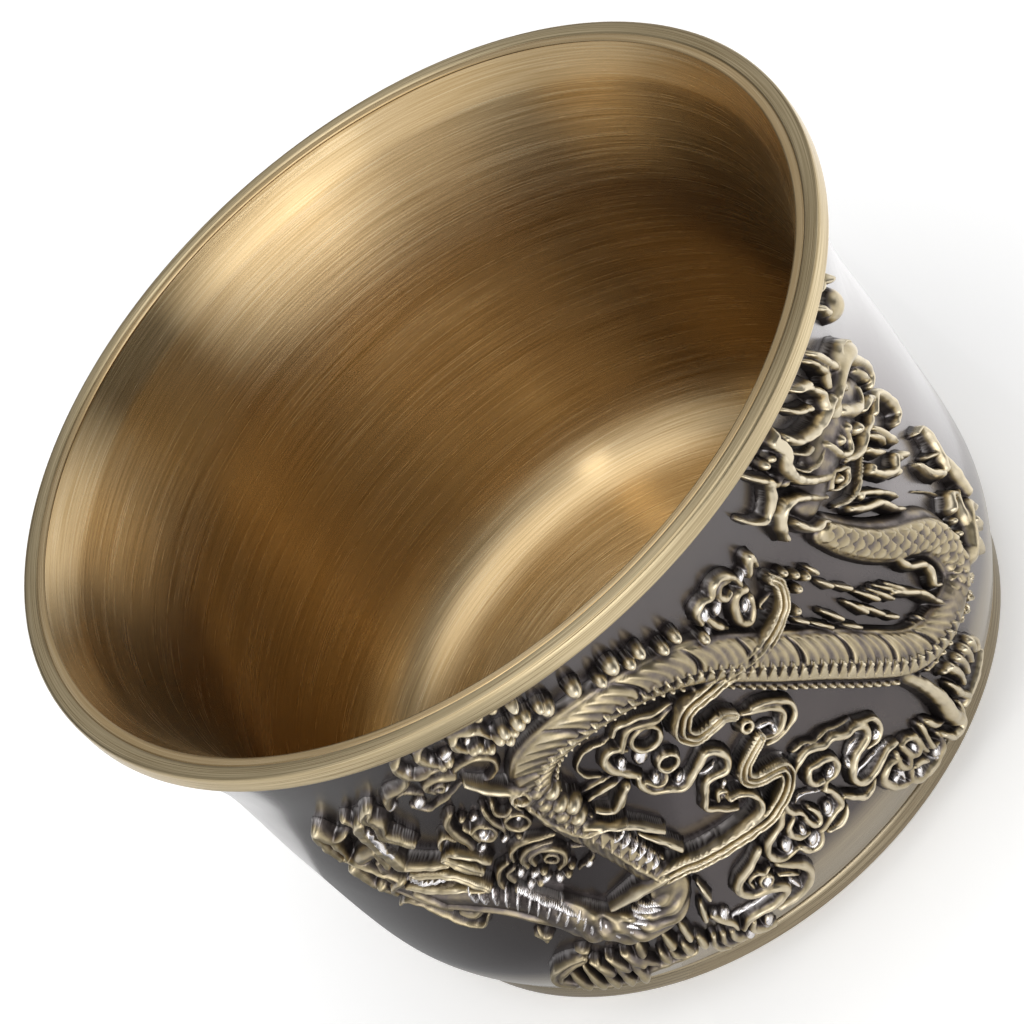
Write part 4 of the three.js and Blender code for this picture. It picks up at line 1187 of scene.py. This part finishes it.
def rounded(corners: Sequence[tuple[float, float, float]], steps: int = 5) -> Array:
    """A closed profile whose corners are rounded.

    Each corner is (radius, height, rounding); the rounding is how far along both sides
    the curve begins. The curve is a parabola through the two beginnings.
    """
    rows = np.array(corners, float)
    here = rows[:, :2]
    before = np.roll(here, 1, axis=0)
    after = np.roll(here, -1, axis=0)
    t = np.linspace(0, 1, steps)[None, :, None]
    back = before - here
    on = after - here
    a = here + rows[:, 2:] * back / np.hypot(*back.T)[:, None]
    b = here + rows[:, 2:] * on / np.hypot(*on.T)[:, None]
    curve = (1 - t) ** 2 * a[:, None] + 2 * t * (1 - t) * here[:, None] + t**2 * b[:, None]
    flat = [curve[i] if rows[i, 2] > 0 else here[i : i + 1] for i in range(len(rows))]
    return np.vstack(flat)


@dataclass(frozen=True)
class Bowl:
    """The shell, the liner, the lip ring and the foot ring."""

    sizes: CupSizes
    wall: WallProfile

    def bowl_curve(self, grown: float, rings: int = 40) -> Array:
        """The bowl's inner curve grown outwards: flat floor, round corner, then the wall."""
        s = self.sizes
        centre_z = s.bowl_floor + s.bowl_corner
        centre_r = float(self.wall.radius(centre_z)) - s.wall_total - s.bowl_corner
        radius = s.bowl_corner + grown
        a = np.linspace(0, math.pi / 2, 18)
        floor_r = np.linspace(0, centre_r, 14)[:-1]
        floor = np.c_[floor_r, np.full(13, s.bowl_floor - grown)]
        corner = np.c_[centre_r + radius * np.sin(a), centre_z - radius * np.cos(a)]
        z = np.linspace(centre_z, s.lip_underside, rings)[1:]
        side = np.c_[self.wall.radius(z) - s.wall_total + grown, z]
        return np.vstack([floor, corner, side])

    def make_liner(self) -> bpy.types.Object:
        """The brushed liner, flared to a thin brim at the lip."""
        s = self.sizes
        inside = self.bowl_curve(0)
        outside = self.bowl_curve(s.liner_wall)
        edge = s.lip_radius - s.ring_width - s.lip_gap
        top = s.lip_top - s.brim_drop
        brim = rounded(((edge, s.lip_top - s.brim_depth, 0.0), (edge, top, 0.12), (s.lip_inside, top, 0.3)))
        keep = slice(None, -1)
        profile = np.vstack([outside[keep], brim, inside[keep][::-1]])
        obj = revolve("liner", profile)
        place_on(obj, "brushed_bowl", "inner_liner")
        return obj

    def make_lip(self) -> bpy.types.Object:
        """The turned ring that closes the wall's edge."""
        s = self.sizes
        low_inner = float(self.wall.radius(s.lip_underside)) - s.shell_wall - s.seat + s.lip_step
        e = s.lip_edge
        profile = rounded((
            (low_inner, s.lip_underside, 0.05),
            (s.lip_radius, s.lip_underside, e),
            (s.lip_radius, s.lip_top, 1.3 * e),
            (s.lip_radius - s.ring_width, s.lip_top, 0.7 * e),
        ))
        obj = revolve("lip_ring", profile)
        place_on(obj, "brushed_lip", "rim_ring")
        return obj

    def make_foot(self) -> bpy.types.Object:
        """The turned bead that the cup stands on."""
        s = self.sizes
        inner = s.foot_radius - s.foot_width
        profile = rounded((
            (inner, 0.0, s.foot_bead * 0.6),
            (s.foot_radius, 0.0, s.foot_bead),
            (s.foot_radius, s.foot_top, s.foot_bead),
            (inner, s.foot_top, 0.1),
        ))
        obj = revolve("foot_bead", profile)
        place_on(obj, "bright_foot", "foot_ring")
        return obj

    def make_shell(self, relief: ReliefGrid) -> bpy.types.Object:
        """The dark cast wall, darkened round the castings by patina together with painted shade.

        Behind the dragon's head and opposite it is painted lighter, a painted sheen that
        stands in for light falling on that side, and kept per vertex.

        Args:
            relief: the castings, to find which places of the wall are beside one.
        """
        s = self.sizes
        z = np.linspace(FOOT_TOP, s.lip_underside - s.wall_gap, 110)
        outside = np.c_[self.wall.radius(z), z]
        inside = self.bowl_curve(s.liner_wall + s.seat, 20)[::-1]
        base = np.array([[0, s.base_height], [s.base_radius, s.base_height], [s.base_radius, FOOT_TOP]])
        base = np.vstack([np.linspace(base[0], base[1], 8)[:-1], base[1:]])
        obj = revolve("cast_wall", np.vstack([base, outside, inside]), steps=576)
        co = np.empty(len(obj.data.vertices) * 3, np.float32)
        obj.data.vertices.foreach_get("co", co)
        x, y, height = co.reshape(-1, 3).T / MM
        degrees = np.degrees(np.arctan2(x, -y))
        # Painted shade and patina beside the castings, per vertex.
        set_attribute(obj, "patina_and_shade", relief.patina_and_shade_at(degrees, height))
        # Painted sheen: a lighter patch where light falls on the wall.
        from_patch = np.abs((degrees - s.patch_at + 90) % 180 - 90)
        set_attribute(obj, "painted_sheen", ramped(from_patch, s.patch_half, -s.patch_fade))
        place_on(obj, "dark_wall", "outer_shell")
        return obj


@dataclass
class Castings:
    """The relief meshes: one for each casting, on the front and turned to the back.

    A casting is bare where it is lower than "bare", and its edge is sunk under the
    wall. Nothing stands further from the axis than "reach". The left end of each side
    is painted darker as painted shade: its wear is cut by a share, from some degrees on, over so many more.
    """

    grid: ReliefGrid
    bare: float = 0.05
    sunk: float = 0.25
    reach: float = 32.9
    wear_blur: float = 0.28
    # Painted shade on the left end: the share, where it begins in degrees, and over how many it grows.
    left_shade: float = 0.6
    left_shade_from: float = -16.0
    left_shade_over: float = 14.0

    def normals(self) -> tuple[Array, Array, Array]:
        """The wall's radius and its outward direction (radial and upward) at each grid row."""
        z = self.grid.up
        radius = self.grid.wall.radius(z)
        lean = np.gradient(radius, z)
        length = np.hypot(1, lean)
        return radius, 1 / length, -lean / length

    def make(self, name: str, side: str, turn: float, wear_and_shade: Array, painted_glint: Array) -> bpy.types.Object:
        """One casting's mesh.

        Every grid cell that the casting touches becomes a face. Its heights stand along
        the wall's outward direction, and the corners where it is bare lie under the wall.

        Args:
            name: the casting's name.
            side: front or back.
            turn: how far round the cup the side is, in degrees.
            wear_and_shade: how far each place stands out from its surroundings, in mm, cut towards the left
                end as painted shade.
            painted_glint: where a painted highlight lies, 0 to 1.

        Returns:
            The object, with its height, its wear with painted shade, and its painted highlight stored per
            vertex.
        """
        grid = self.grid
        height = grid.layers[name]
        on = height > self.bare
        cells = on[:-1, :-1] | on[1:, :-1] | on[:-1, 1:] | on[1:, 1:]
        number = np.arange(height.size).reshape(height.shape)
        quads = np.stack([number[:-1, :-1], number[:-1, 1:], number[1:, 1:], number[1:, :-1]], 2)[cells]
        used, faces = np.unique(quads, return_inverse=True)
        row, col = np.divmod(used, height.shape[1])
        radius, out, rise = self.normals()
        room = (self.reach - radius) / out
        lift = np.where(on, np.minimum(height, room[:, None]), -self.sunk)[row, col]
        angle = grid.along[col] / WAIST + math.radians(turn)
        r = radius[row] + lift * out[row]
        points = np.stack([r * np.sin(angle), -r * np.cos(angle), grid.up[row] + lift * rise[row]], 1)
        obj = new_object(f"{side}_{name}_casting", points, faces.reshape(-1, 4))
        set_attribute(obj, "lift", lift)
        set_attribute(obj, "wear_and_shade", wear_and_shade[row, col])
        set_attribute(obj, "painted_glint", painted_glint[row, col])
        place_on(obj, "antique_relief", f"{side}_{name}")
        log.info("%s %s: %d faces", side, name, len(quads))
        return obj

    def make_all(self) -> list[bpy.types.Object]:
        """Every casting on both sides."""
        self.grid.soften()
        total = self.grid.peak
        wear_and_shade = total - blurred(total, self.wear_blur / self.grid.step)
        degrees = np.degrees(self.grid.along / WAIST)
        # Painted shade: the left end of each side is made to look less worn, so darker.
        wear_and_shade *= 1 - self.left_shade * ramped(degrees, self.left_shade_from, -self.left_shade_over)
        painted_glint = self.grid.painted_glint()
        made = []
        for side, turn in (("front", 0.0), ("back", 180.0)):
            made += [self.make(name, side, turn, wear_and_shade, painted_glint) for name in self.grid.layers]
        return made


@dataclass
class Graph:
    """The node tree of a material or of the room, with short ways to add and join nodes."""

    owner: bpy.types.Material | bpy.types.World

    @classmethod
    def empty(cls, owner: bpy.types.Material | bpy.types.World) -> "Graph":
        """The owner's node tree, cleared."""
        owner.use_nodes = True
        owner.node_tree.nodes.clear()
        return cls(owner)

    @classmethod
    def named(cls, name: str) -> "Graph":
        """A new material with an empty tree."""
        return cls.empty(bpy.data.materials.new(name))

    def add(self, kind: str, *values: object, **settings: object) -> bpy.types.Node:
        """A node with its settings, whose first sockets take the values in turn.

        A setting with the name of a socket is fed to that socket.
        """
        node = self.owner.node_tree.nodes.new(kind)
        for key, value in settings.items():
            if key in node.inputs:
                self.feed(node, key, value)
            else:
                setattr(node, key, value)
        for socket, value in enumerate(values):
            self.feed(node, socket, value)
        return node

    def feed(self, node: bpy.types.Node, socket: str | int, value: object) -> None:
        """Sets a socket to a value, or joins it to another node's output."""
        if isinstance(value, Socket):
            self.owner.node_tree.links.new(value, node.inputs[socket])
        else:
            node.inputs[socket].default_value = value

    def math(self, operation: str, a: object, b: object = 0.0, clamp: bool = False) -> Socket:
        """A math node's result."""
        return self.add("ShaderNodeMath", a, b, operation=operation, use_clamp=clamp).outputs[0]

    def plus(self, a: object, b: object) -> Socket:
        """The sum of two numbers."""
        return self.math("ADD", a, b)

    def times(self, a: object, b: object, clamp: bool = False) -> Socket:
        """The product of two numbers, kept between 0 and 1 where it is clamped."""
        return self.math("MULTIPLY", a, b, clamp)

    def attribute(self, name: str) -> Socket:
        """A per-vertex number."""
        return self.add("ShaderNodeAttribute", attribute_name=name).outputs["Fac"]

    def ramp(self, value: object, *stops: tuple[float, float | Colour]) -> Socket:
        """A colour ramp's result from (place, colour) stops."""
        node = self.add("ShaderNodeValToRGB", value)
        elements = node.color_ramp.elements
        while len(elements) < len(stops):
            elements.new(0.5)
        for element, (place, colour) in zip(elements, stops):
            element.position = place
            element.color = (*(colour if isinstance(colour, tuple) else (colour,) * 3), 1)
        return node.outputs["Color"]

    def mix(self, share: object, a: object, b: object) -> Socket:
        """A mix of two colours, with the share of the second."""
        node = self.add("ShaderNodeMix", share, data_type="RGBA")
        for socket, value in ((6, a), (7, b)):
            self.feed(node, socket, (*value, 1) if isinstance(value, tuple) else value)
        return node.outputs[2]

    def noise(self, vector: object, scale: float, detail: float = 3.0, rough: float = 0.55) -> Socket:
        """A noise texture's value."""
        node = self.add("ShaderNodeTexNoise", Vector=vector, Scale=scale, Detail=detail, Roughness=rough)
        return node.outputs["Fac"]

    def object_coordinates(self) -> Socket:
        """The object's own coordinates, in metres."""
        return self.add("ShaderNodeTexCoord").outputs["Object"]

    def parts(self, vector: object) -> Sequence[Socket]:
        """The x, y and z of a vector."""
        return self.add("ShaderNodeSeparateXYZ", vector).outputs

    def brushed_coordinates(self, round_scale: float, across_scale: float) -> Socket:
        """Coordinates stretched along the turning direction.

        The first two are the direction from the axis, and the third is the distance
        along the turned profile, so a noise in them is drawn out into level lines.
        """
        x, y, _ = self.parts(self.object_coordinates())
        flat = self.add("ShaderNodeCombineXYZ", x, y).outputs[0]
        unit = self.add("ShaderNodeVectorMath", flat, operation="NORMALIZE").outputs[0]
        sized = self.add("ShaderNodeVectorMath", unit, operation="SCALE", Scale=round_scale).outputs[0]
        lift = self.add("ShaderNodeCombineXYZ", Z=self.times(self.attribute("ring"), across_scale)).outputs[0]
        return self.add("ShaderNodeVectorMath", sized, lift, operation="ADD").outputs[0]

    def bump(self, height: object, strength: float, depth: float) -> Socket:
        """A bump node's normal; the depth is in mm."""
        node = self.add("ShaderNodeBump", Height=height, Strength=strength, Distance=depth * MM)
        return node.outputs["Normal"]

    def metal(self, colour: object, roughness: object, **more: object) -> bpy.types.Material:
        """A metal shader with its colour and roughness, joined to the output."""
        sockets = {"Metallic": 1.0, "Base Color": colour, "Roughness": roughness, **more}
        return self.surface(self.add("ShaderNodeBsdfPrincipled", **sockets))

    def surface(self, shader: bpy.types.Node) -> bpy.types.Material:
        """Joins a shader to the material's output."""
        self.add("ShaderNodeOutputMaterial", shader.outputs[0])
        return self.owner


@dataclass(frozen=True)
class BrushedFinish:
    """Turned and brushed bronze: fine level lines with a soft stretched shine.

    The colour goes from dark to light and the roughness from low to high with the
    lines. "line" is how closely the lines stand across the turning direction, "around"
    how short they are along it, and "depth" how deep they are, in mm.
    """

    name: str
    dark: Colour
    light: Colour
    low: float
    high: float
    stretch: float = 0.95
    line: float = 14.0
    around: float = 2.2
    depth: float = 0.01
    line_share: float = 0.86
    broad_share: float = 0.14

    def make(self) -> bpy.types.Material:
        """Builds the material."""
        g = Graph.named(self.name)
        lines = g.noise(g.brushed_coordinates(self.around, self.line), 1.0, 3.0, 0.65)
        broad = g.noise(g.brushed_coordinates(1.3, 0.35), 1.0, 2.0, 0.5)
        both = g.plus(g.times(lines, self.line_share), g.times(broad, self.broad_share))
        colour = g.ramp(both, (0.36, self.dark), (0.64, self.light))
        rough = g.ramp(both, (0.35, self.low), (0.65, self.high))
        tangent = g.add("ShaderNodeTangent", direction_type="RADIAL", axis="Z").outputs[0]
        stretched = {"Tangent": tangent, "Anisotropic": self.stretch, "Anisotropic Rotation": 0.25}
        return g.metal(colour, rough, Normal=g.bump(lines, 0.5, self.depth), **stretched)


BOWL_FINISH = BrushedFinish("brushed bowl", (0.43, 0.30, 0.142), (0.65, 0.50, 0.295), 0.22, 0.28, line=8.0)
LIP_FINISH = BrushedFinish("brushed lip", (0.29, 0.215, 0.112), (0.66, 0.55, 0.35), 0.26, 0.36, stretch=0.85)
FOOT_FINISH = BrushedFinish("bright foot", (0.18, 0.14, 0.09), (0.46, 0.39, 0.27), 0.16, 0.28)


@dataclass(frozen=True)
class WallFinish:
    """The cast wall: dark gunmetal with a thin clear coat, darkened beside the castings by patina together
    with painted shade.

    It is brassy where the heel is turned, and painted lighter in a patch on each side, a painted sheen that
    stands in for light.
    "cloudy", "dust" and "grain" are how fine each pattern is, in waves to the metre.
    """

    name: str = "dark gunmetal wall"
    metal: Colour = (0.061, 0.050, 0.052)
    warm: Colour = (0.082, 0.068, 0.065)
    scratched: Colour = (0.07, 0.06, 0.06)
    turned: Colour = (0.36, 0.30, 0.205)
    # Colour of the painted sheen patch.
    painted_sheen: Colour = (0.19, 0.172, 0.17)
    # Colour of the patina and painted shade beside the castings.
    patina_and_shade: Colour = (0.024, 0.020, 0.020)
    cloudy: float = 90.0
    dust: float = 500.0
    grain: float = 2500.0
    depth: float = 0.01

    def make(self) -> bpy.types.Material:
        """Builds the material. The turned band fades out between 5.4 and 7.4 mm up."""
        g = Graph.named(self.name)
        here = g.object_coordinates()
        cloudy = g.noise(here, self.cloudy, 4.0)
        lines = g.noise(g.brushed_coordinates(6.0, 5.0), 1.0, 3.0, 0.65)
        base = g.mix(g.ramp(cloudy, (0.35, 0.0), (0.7, 1.0)), self.metal, self.warm)
        base = g.mix(g.times(lines, 0.3), base, self.scratched)
        # Painted sheen: the patch is mixed towards a lighter colour.
        base = g.mix(g.attribute("painted_sheen"), base, self.painted_sheen)
        heel = g.ramp(g.times(g.parts(here)[2], 50.0), (0.27, 1.0), (0.37, 0.0))
        base = g.mix(g.times(heel, g.plus(g.times(lines, 0.7), 0.45)), base, self.turned)
        dusty = g.ramp(g.noise(here, self.dust, 4.0), (0.3, 0.7), (0.7, 1.0))
        # Patina together with painted shade beside the castings.
        patina_and_shade_mask = g.times(g.attribute("patina_and_shade"), dusty, clamp=True)
        colour = g.mix(patina_and_shade_mask, base, self.patina_and_shade)
        rough = g.plus(g.ramp(cloudy, (0.3, 0.20), (0.7, 0.28)), g.times(patina_and_shade_mask, 0.25))
        grain = g.plus(g.times(lines, 0.6), g.times(g.noise(here, self.grain), 0.4))
        coat = {"Coat Weight": 0.35, "Coat Roughness": 0.15, "Coat IOR": 1.8}
        return g.metal(colour, rough, Normal=g.bump(grain, 0.4, self.depth), **coat)


@dataclass(frozen=True)
class ReliefFinish:
    """The castings: black in the hollows, antique brass where hands have rubbed them.

    How worn a place is comes from how far it stands out from its surroundings, with a
    little for its height and some uneven spots; at the left end it is cut as painted shade. The seams, eyes
    and bright strips are silver, a painted highlight.
    """

    name: str = "antique brass relief"
    hollow: Colour = (0.058, 0.049, 0.047)
    bronze: Colour = (0.15, 0.128, 0.118)
    brass: Colour = (0.37, 0.305, 0.19)
    bright: Colour = (0.60, 0.525, 0.385)
    # Near-white colour of the painted highlight.
    painted_glint_colour: Colour = (0.76, 0.73, 0.73)
    spots: float = 900.0
    grain: float = 2200.0
    depth: float = 0.02

    def make(self) -> bpy.types.Material:
        """Builds the material."""
        g = Graph.named(self.name)
        here = g.object_coordinates()
        spots = g.math("SUBTRACT", g.noise(here, self.spots, 4.0), 0.5)
        # The wear attribute holds real wear and, at the left end, painted shade.
        worn_and_shaded = g.plus(g.attribute("wear_and_shade"), g.times(g.attribute("lift"), 0.06))
        worn_and_shaded = g.plus(g.plus(worn_and_shaded, g.times(spots, 0.3)), 0.2)
        shades = ((0.14, self.hollow), (0.25, self.bronze), (0.4, self.brass), (0.62, self.bright))
        painted_glint = g.attribute("painted_glint")
        rough = g.ramp(worn_and_shaded, (0.16, 0.5), (0.26, 0.34), (0.5, 0.29))
        rough = g.math("SUBTRACT", rough, g.times(painted_glint, 0.14))
        normal = g.bump(g.noise(here, self.grain), 0.35, self.depth)
        # Painted highlight: where the glint mask is high the colour turns near-white silver.
        return g.metal(g.mix(painted_glint, g.ramp(worn_and_shaded, *shades), self.painted_glint_colour), rough, Normal=normal)


@dataclass(frozen=True)
class Photographer:
    """The camera, the table, the surroundings and the lamp.

    Places are in mm. "right", "up" and "back" are the camera's own directions. The
    brightnesses of the two bands of the room go once round the cup, from the back by
    the left, the low band's for directions up to about 30 degrees over the table.
    """

    lens: float = 166.66
    film: float = 36.0
    right: tuple[float, float, float] = (0.73847104, -0.41165553, -0.53404144)
    up: tuple[float, float, float] = (0.6742852, 0.4508414, 0.58487734)
    back: tuple[float, float, float] = (0.0, -0.79201121, 0.61050654)
    table_half: float = 3000.0
    table_lift: float = 0.3
    low_room: tuple[float, ...] = (
        0.0, 0.1, 0.2, 0.8, 0.85, 1.3, 1.5, 3.7, 2.8, 0.15, 0.05, 1.15, 1.45, 0.3, 0.5,
    )
    middle_room: tuple[float, ...] = (0.75, 0.3, 0.45, 1.0, 0.95, 0.35, 0.1, 0.2, 0.3, 0.4)
    overhead: float = 1.9
    strongest: float = 4.0
    seen_room: Colour = (0.25, 0.25, 0.25)
    sheet_height: float = 0.03
    sheet_fade: float = 16.0
    bright_sheet: float = 1.6
    # Brightness of the painted shade sheet where its fade ends.
    painted_shade_sheet: float = 0.35
    lamp_at: tuple[float, float, float] = (-160, -200, 420)
    lamp_aim: tuple[float, float, float] = (0, 0, 20)
    lamp_side: float = 60.0
    lamp_watts: float = 0.06

    def set_camera(self) -> None:
        """Stands the camera where the photograph was taken from."""
        bpy.context.scene.view_settings.view_transform = "Standard"
        camera = bpy.data.cameras.new("camera")
        camera.lens = self.lens
        camera.sensor_width = self.film
        axes = Matrix((self.right, self.up, self.back)).transposed().to_4x4()
        bpy.context.scene.camera = self.stand(camera, CAMERA_AT, axes)

    @staticmethod
    def stand(thing: bpy.types.ID, at: Sequence[float], turn: Matrix) -> bpy.types.Object:
        """Puts a camera or a lamp in the scene, at a place in mm, turned as told."""
        obj = bpy.data.objects.new(thing.name, thing)
        obj.matrix_world = Matrix.Translation(Vector(at) * MM) @ turn
        bpy.context.scene.collection.objects.link(obj)
        return obj

    @staticmethod
    def lay(name: str, x: Sequence[float], y: Sequence[float], height: float) -> bpy.types.Object:
        """A level rectangle, from its least and greatest x and y."""
        corners = np.array([(x[i], y[j], height) for i, j in ((0, 0), (1, 0), (1, 1), (0, 1))], float)
        return new_object(name, corners, np.arange(4)[None, :], smooth=False)

    def set_table(self) -> None:
        """A plain white table, lifted to full white where the camera or a reflection sees it."""
        span = (-self.table_half, self.table_half)
        table = self.lay("table", span, span, 0.0)
        g = Graph.named("white table")
        white = g.ramp(g.noise(g.object_coordinates(), 3.0), (0.3, 0.93), (0.7, 0.95))
        sockets = {"Roughness": 0.7, "Specular IOR Level": 0.1, "Base Color": white}
        paint = g.add("ShaderNodeBsdfPrincipled", **sockets)
        path = g.add("ShaderNodeLightPath")
        seen = g.math("MAXIMUM", path.outputs["Is Camera Ray"], path.outputs["Is Glossy Ray"])
        glow = g.add("ShaderNodeEmission", Strength=g.times(seen, self.table_lift))
        both = g.add("ShaderNodeAddShader", paint.outputs[0], glow.outputs[0])
        table.data.materials.append(g.surface(both))

    def set_world(self) -> None:
        """The room: its brightness by direction, in a low band, a middle band and overhead.

        Each band is a ramp over the direction round the cup, and the bands fade into
        each other by how steeply the direction climbs. The camera sees plain white.
        """
        world = bpy.data.worlds.new("room")
        bpy.context.scene.world = world
        g = Graph.empty(world)
        x, y, z = g.parts(g.add("ShaderNodeTexCoord").outputs["Generated"])
        turn = g.math("ARCTAN2", x, g.times(y, -1.0))
        share = g.plus(g.math("DIVIDE", turn, 2 * math.pi), 0.5)
        low, middle = (self.band(g, share, values) for values in (self.low_room, self.middle_room))
        climb = g.mix(g.ramp(z, (0.40, 0.0), (0.54, 1.0)), low, middle)
        room = g.mix(g.ramp(z, (0.84, 0.0), (0.92, 1.0)), climb, (self.overhead / self.strongest,) * 3)
        camera = g.add("ShaderNodeLightPath").outputs["Is Camera Ray"]
        colour = g.mix(camera, room, self.seen_room)
        back = g.add("ShaderNodeBackground", Color=colour, Strength=self.strongest)
        g.add("ShaderNodeOutputWorld", back.outputs[0])

    def band(self, g: Graph, share: object, values: Sequence[float]) -> Socket:
        """A ramp once round the cup, of brightnesses as shares of the strongest."""
        stops = [(i / len(values), v / self.strongest) for i, v in enumerate((*values, values[0]))]
        return g.ramp(share, *stops)

    def set_sheet(self, name: str, near: float, far: float, depth: Point, glow: Point) -> None:
        """A sheet lying beside the cup, which only reflections in metal see.

        Args:
            name: what it is called.
            near: x of its edge beside the cup, in mm.
            far: x of its other edge.
            depth: its least and greatest y.
            glow: its brightness at the near edge, and where its fade ends.
        """
        sheet = self.lay(name, sorted((near, far)), depth, self.sheet_height)
        g = Graph.named(name)
        x = g.parts(g.object_coordinates())[0]
        from_edge = g.math("ABSOLUTE", g.math("SUBTRACT", x, near * MM))
        reach = g.times(from_edge, 1 / (self.sheet_fade * MM), clamp=True)
        strength = g.plus(glow[0], g.times(reach, glow[1] - glow[0]))
        sheet.data.materials.append(g.surface(g.add("ShaderNodeEmission", Strength=strength)))
        sheet.visible_camera = False
        sheet.visible_shadow = False
        sheet.visible_diffuse = False

    def set_lamp(self) -> None:
        """A small soft lamp, high on the left before the cup."""
        lamp = bpy.data.lights.new("key", "AREA")
        lamp.shape = "SQUARE"
        lamp.size = self.lamp_side * MM
        lamp.energy = self.lamp_watts
        aim = Vector(self.lamp_aim) - Vector(self.lamp_at)
        self.stand(lamp, self.lamp_at, aim.to_track_quat("-Z", "Y").to_matrix().to_4x4())

    def set_all(self) -> None:
        """Sets the camera, the table, the room, the sheets and the lamp."""
        self.set_camera()
        self.set_table()
        self.set_world()
        self.set_sheet("bright sheet", 33, 180, (-50, 160), (1.3, self.bright_sheet))
        # A dim sheet seen only in reflections stands in for shade on the table beside and under the cup:
        # painted shade.
        self.set_sheet("painted shade sheet", -14, -62, (-75, 14), (0.8, self.painted_shade_sheet))
        self.set_lamp()


def paint_rest(material: bpy.types.Material) -> None:
    """Gives any CAD node that is still shown the cast wall's finish."""
    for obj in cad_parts.values():
        obj.data.materials.clear()
        obj.data.materials.append(material)


def main() -> None:
    """Builds and dresses the cup, and sets the studio."""
    logging.basicConfig(level=logging.INFO, format="%(message)s")
    wall = WallProfile()
    grid = ReliefGrid(wall)
    draw_castings(grid)
    bowl = Bowl(CupSizes.from_frame(), wall)
    finishes = (WallFinish(), BOWL_FINISH, LIP_FINISH, FOOT_FINISH)
    dark, brushed, turned, bead = (finish.make() for finish in finishes)
    paint_rest(dark)
    for obj, finish in (
        (bowl.make_shell(grid), dark),
        (bowl.make_liner(), brushed),
        (bowl.make_lip(), turned),
        (bowl.make_foot(), bead),
    ):
        obj.data.materials.append(finish)
    brass = ReliefFinish().make()
    for obj in Castings(grid).make_all():
        obj.data.materials.append(brass)
    Photographer().set_all()


if __name__ == "__main__":
    main()
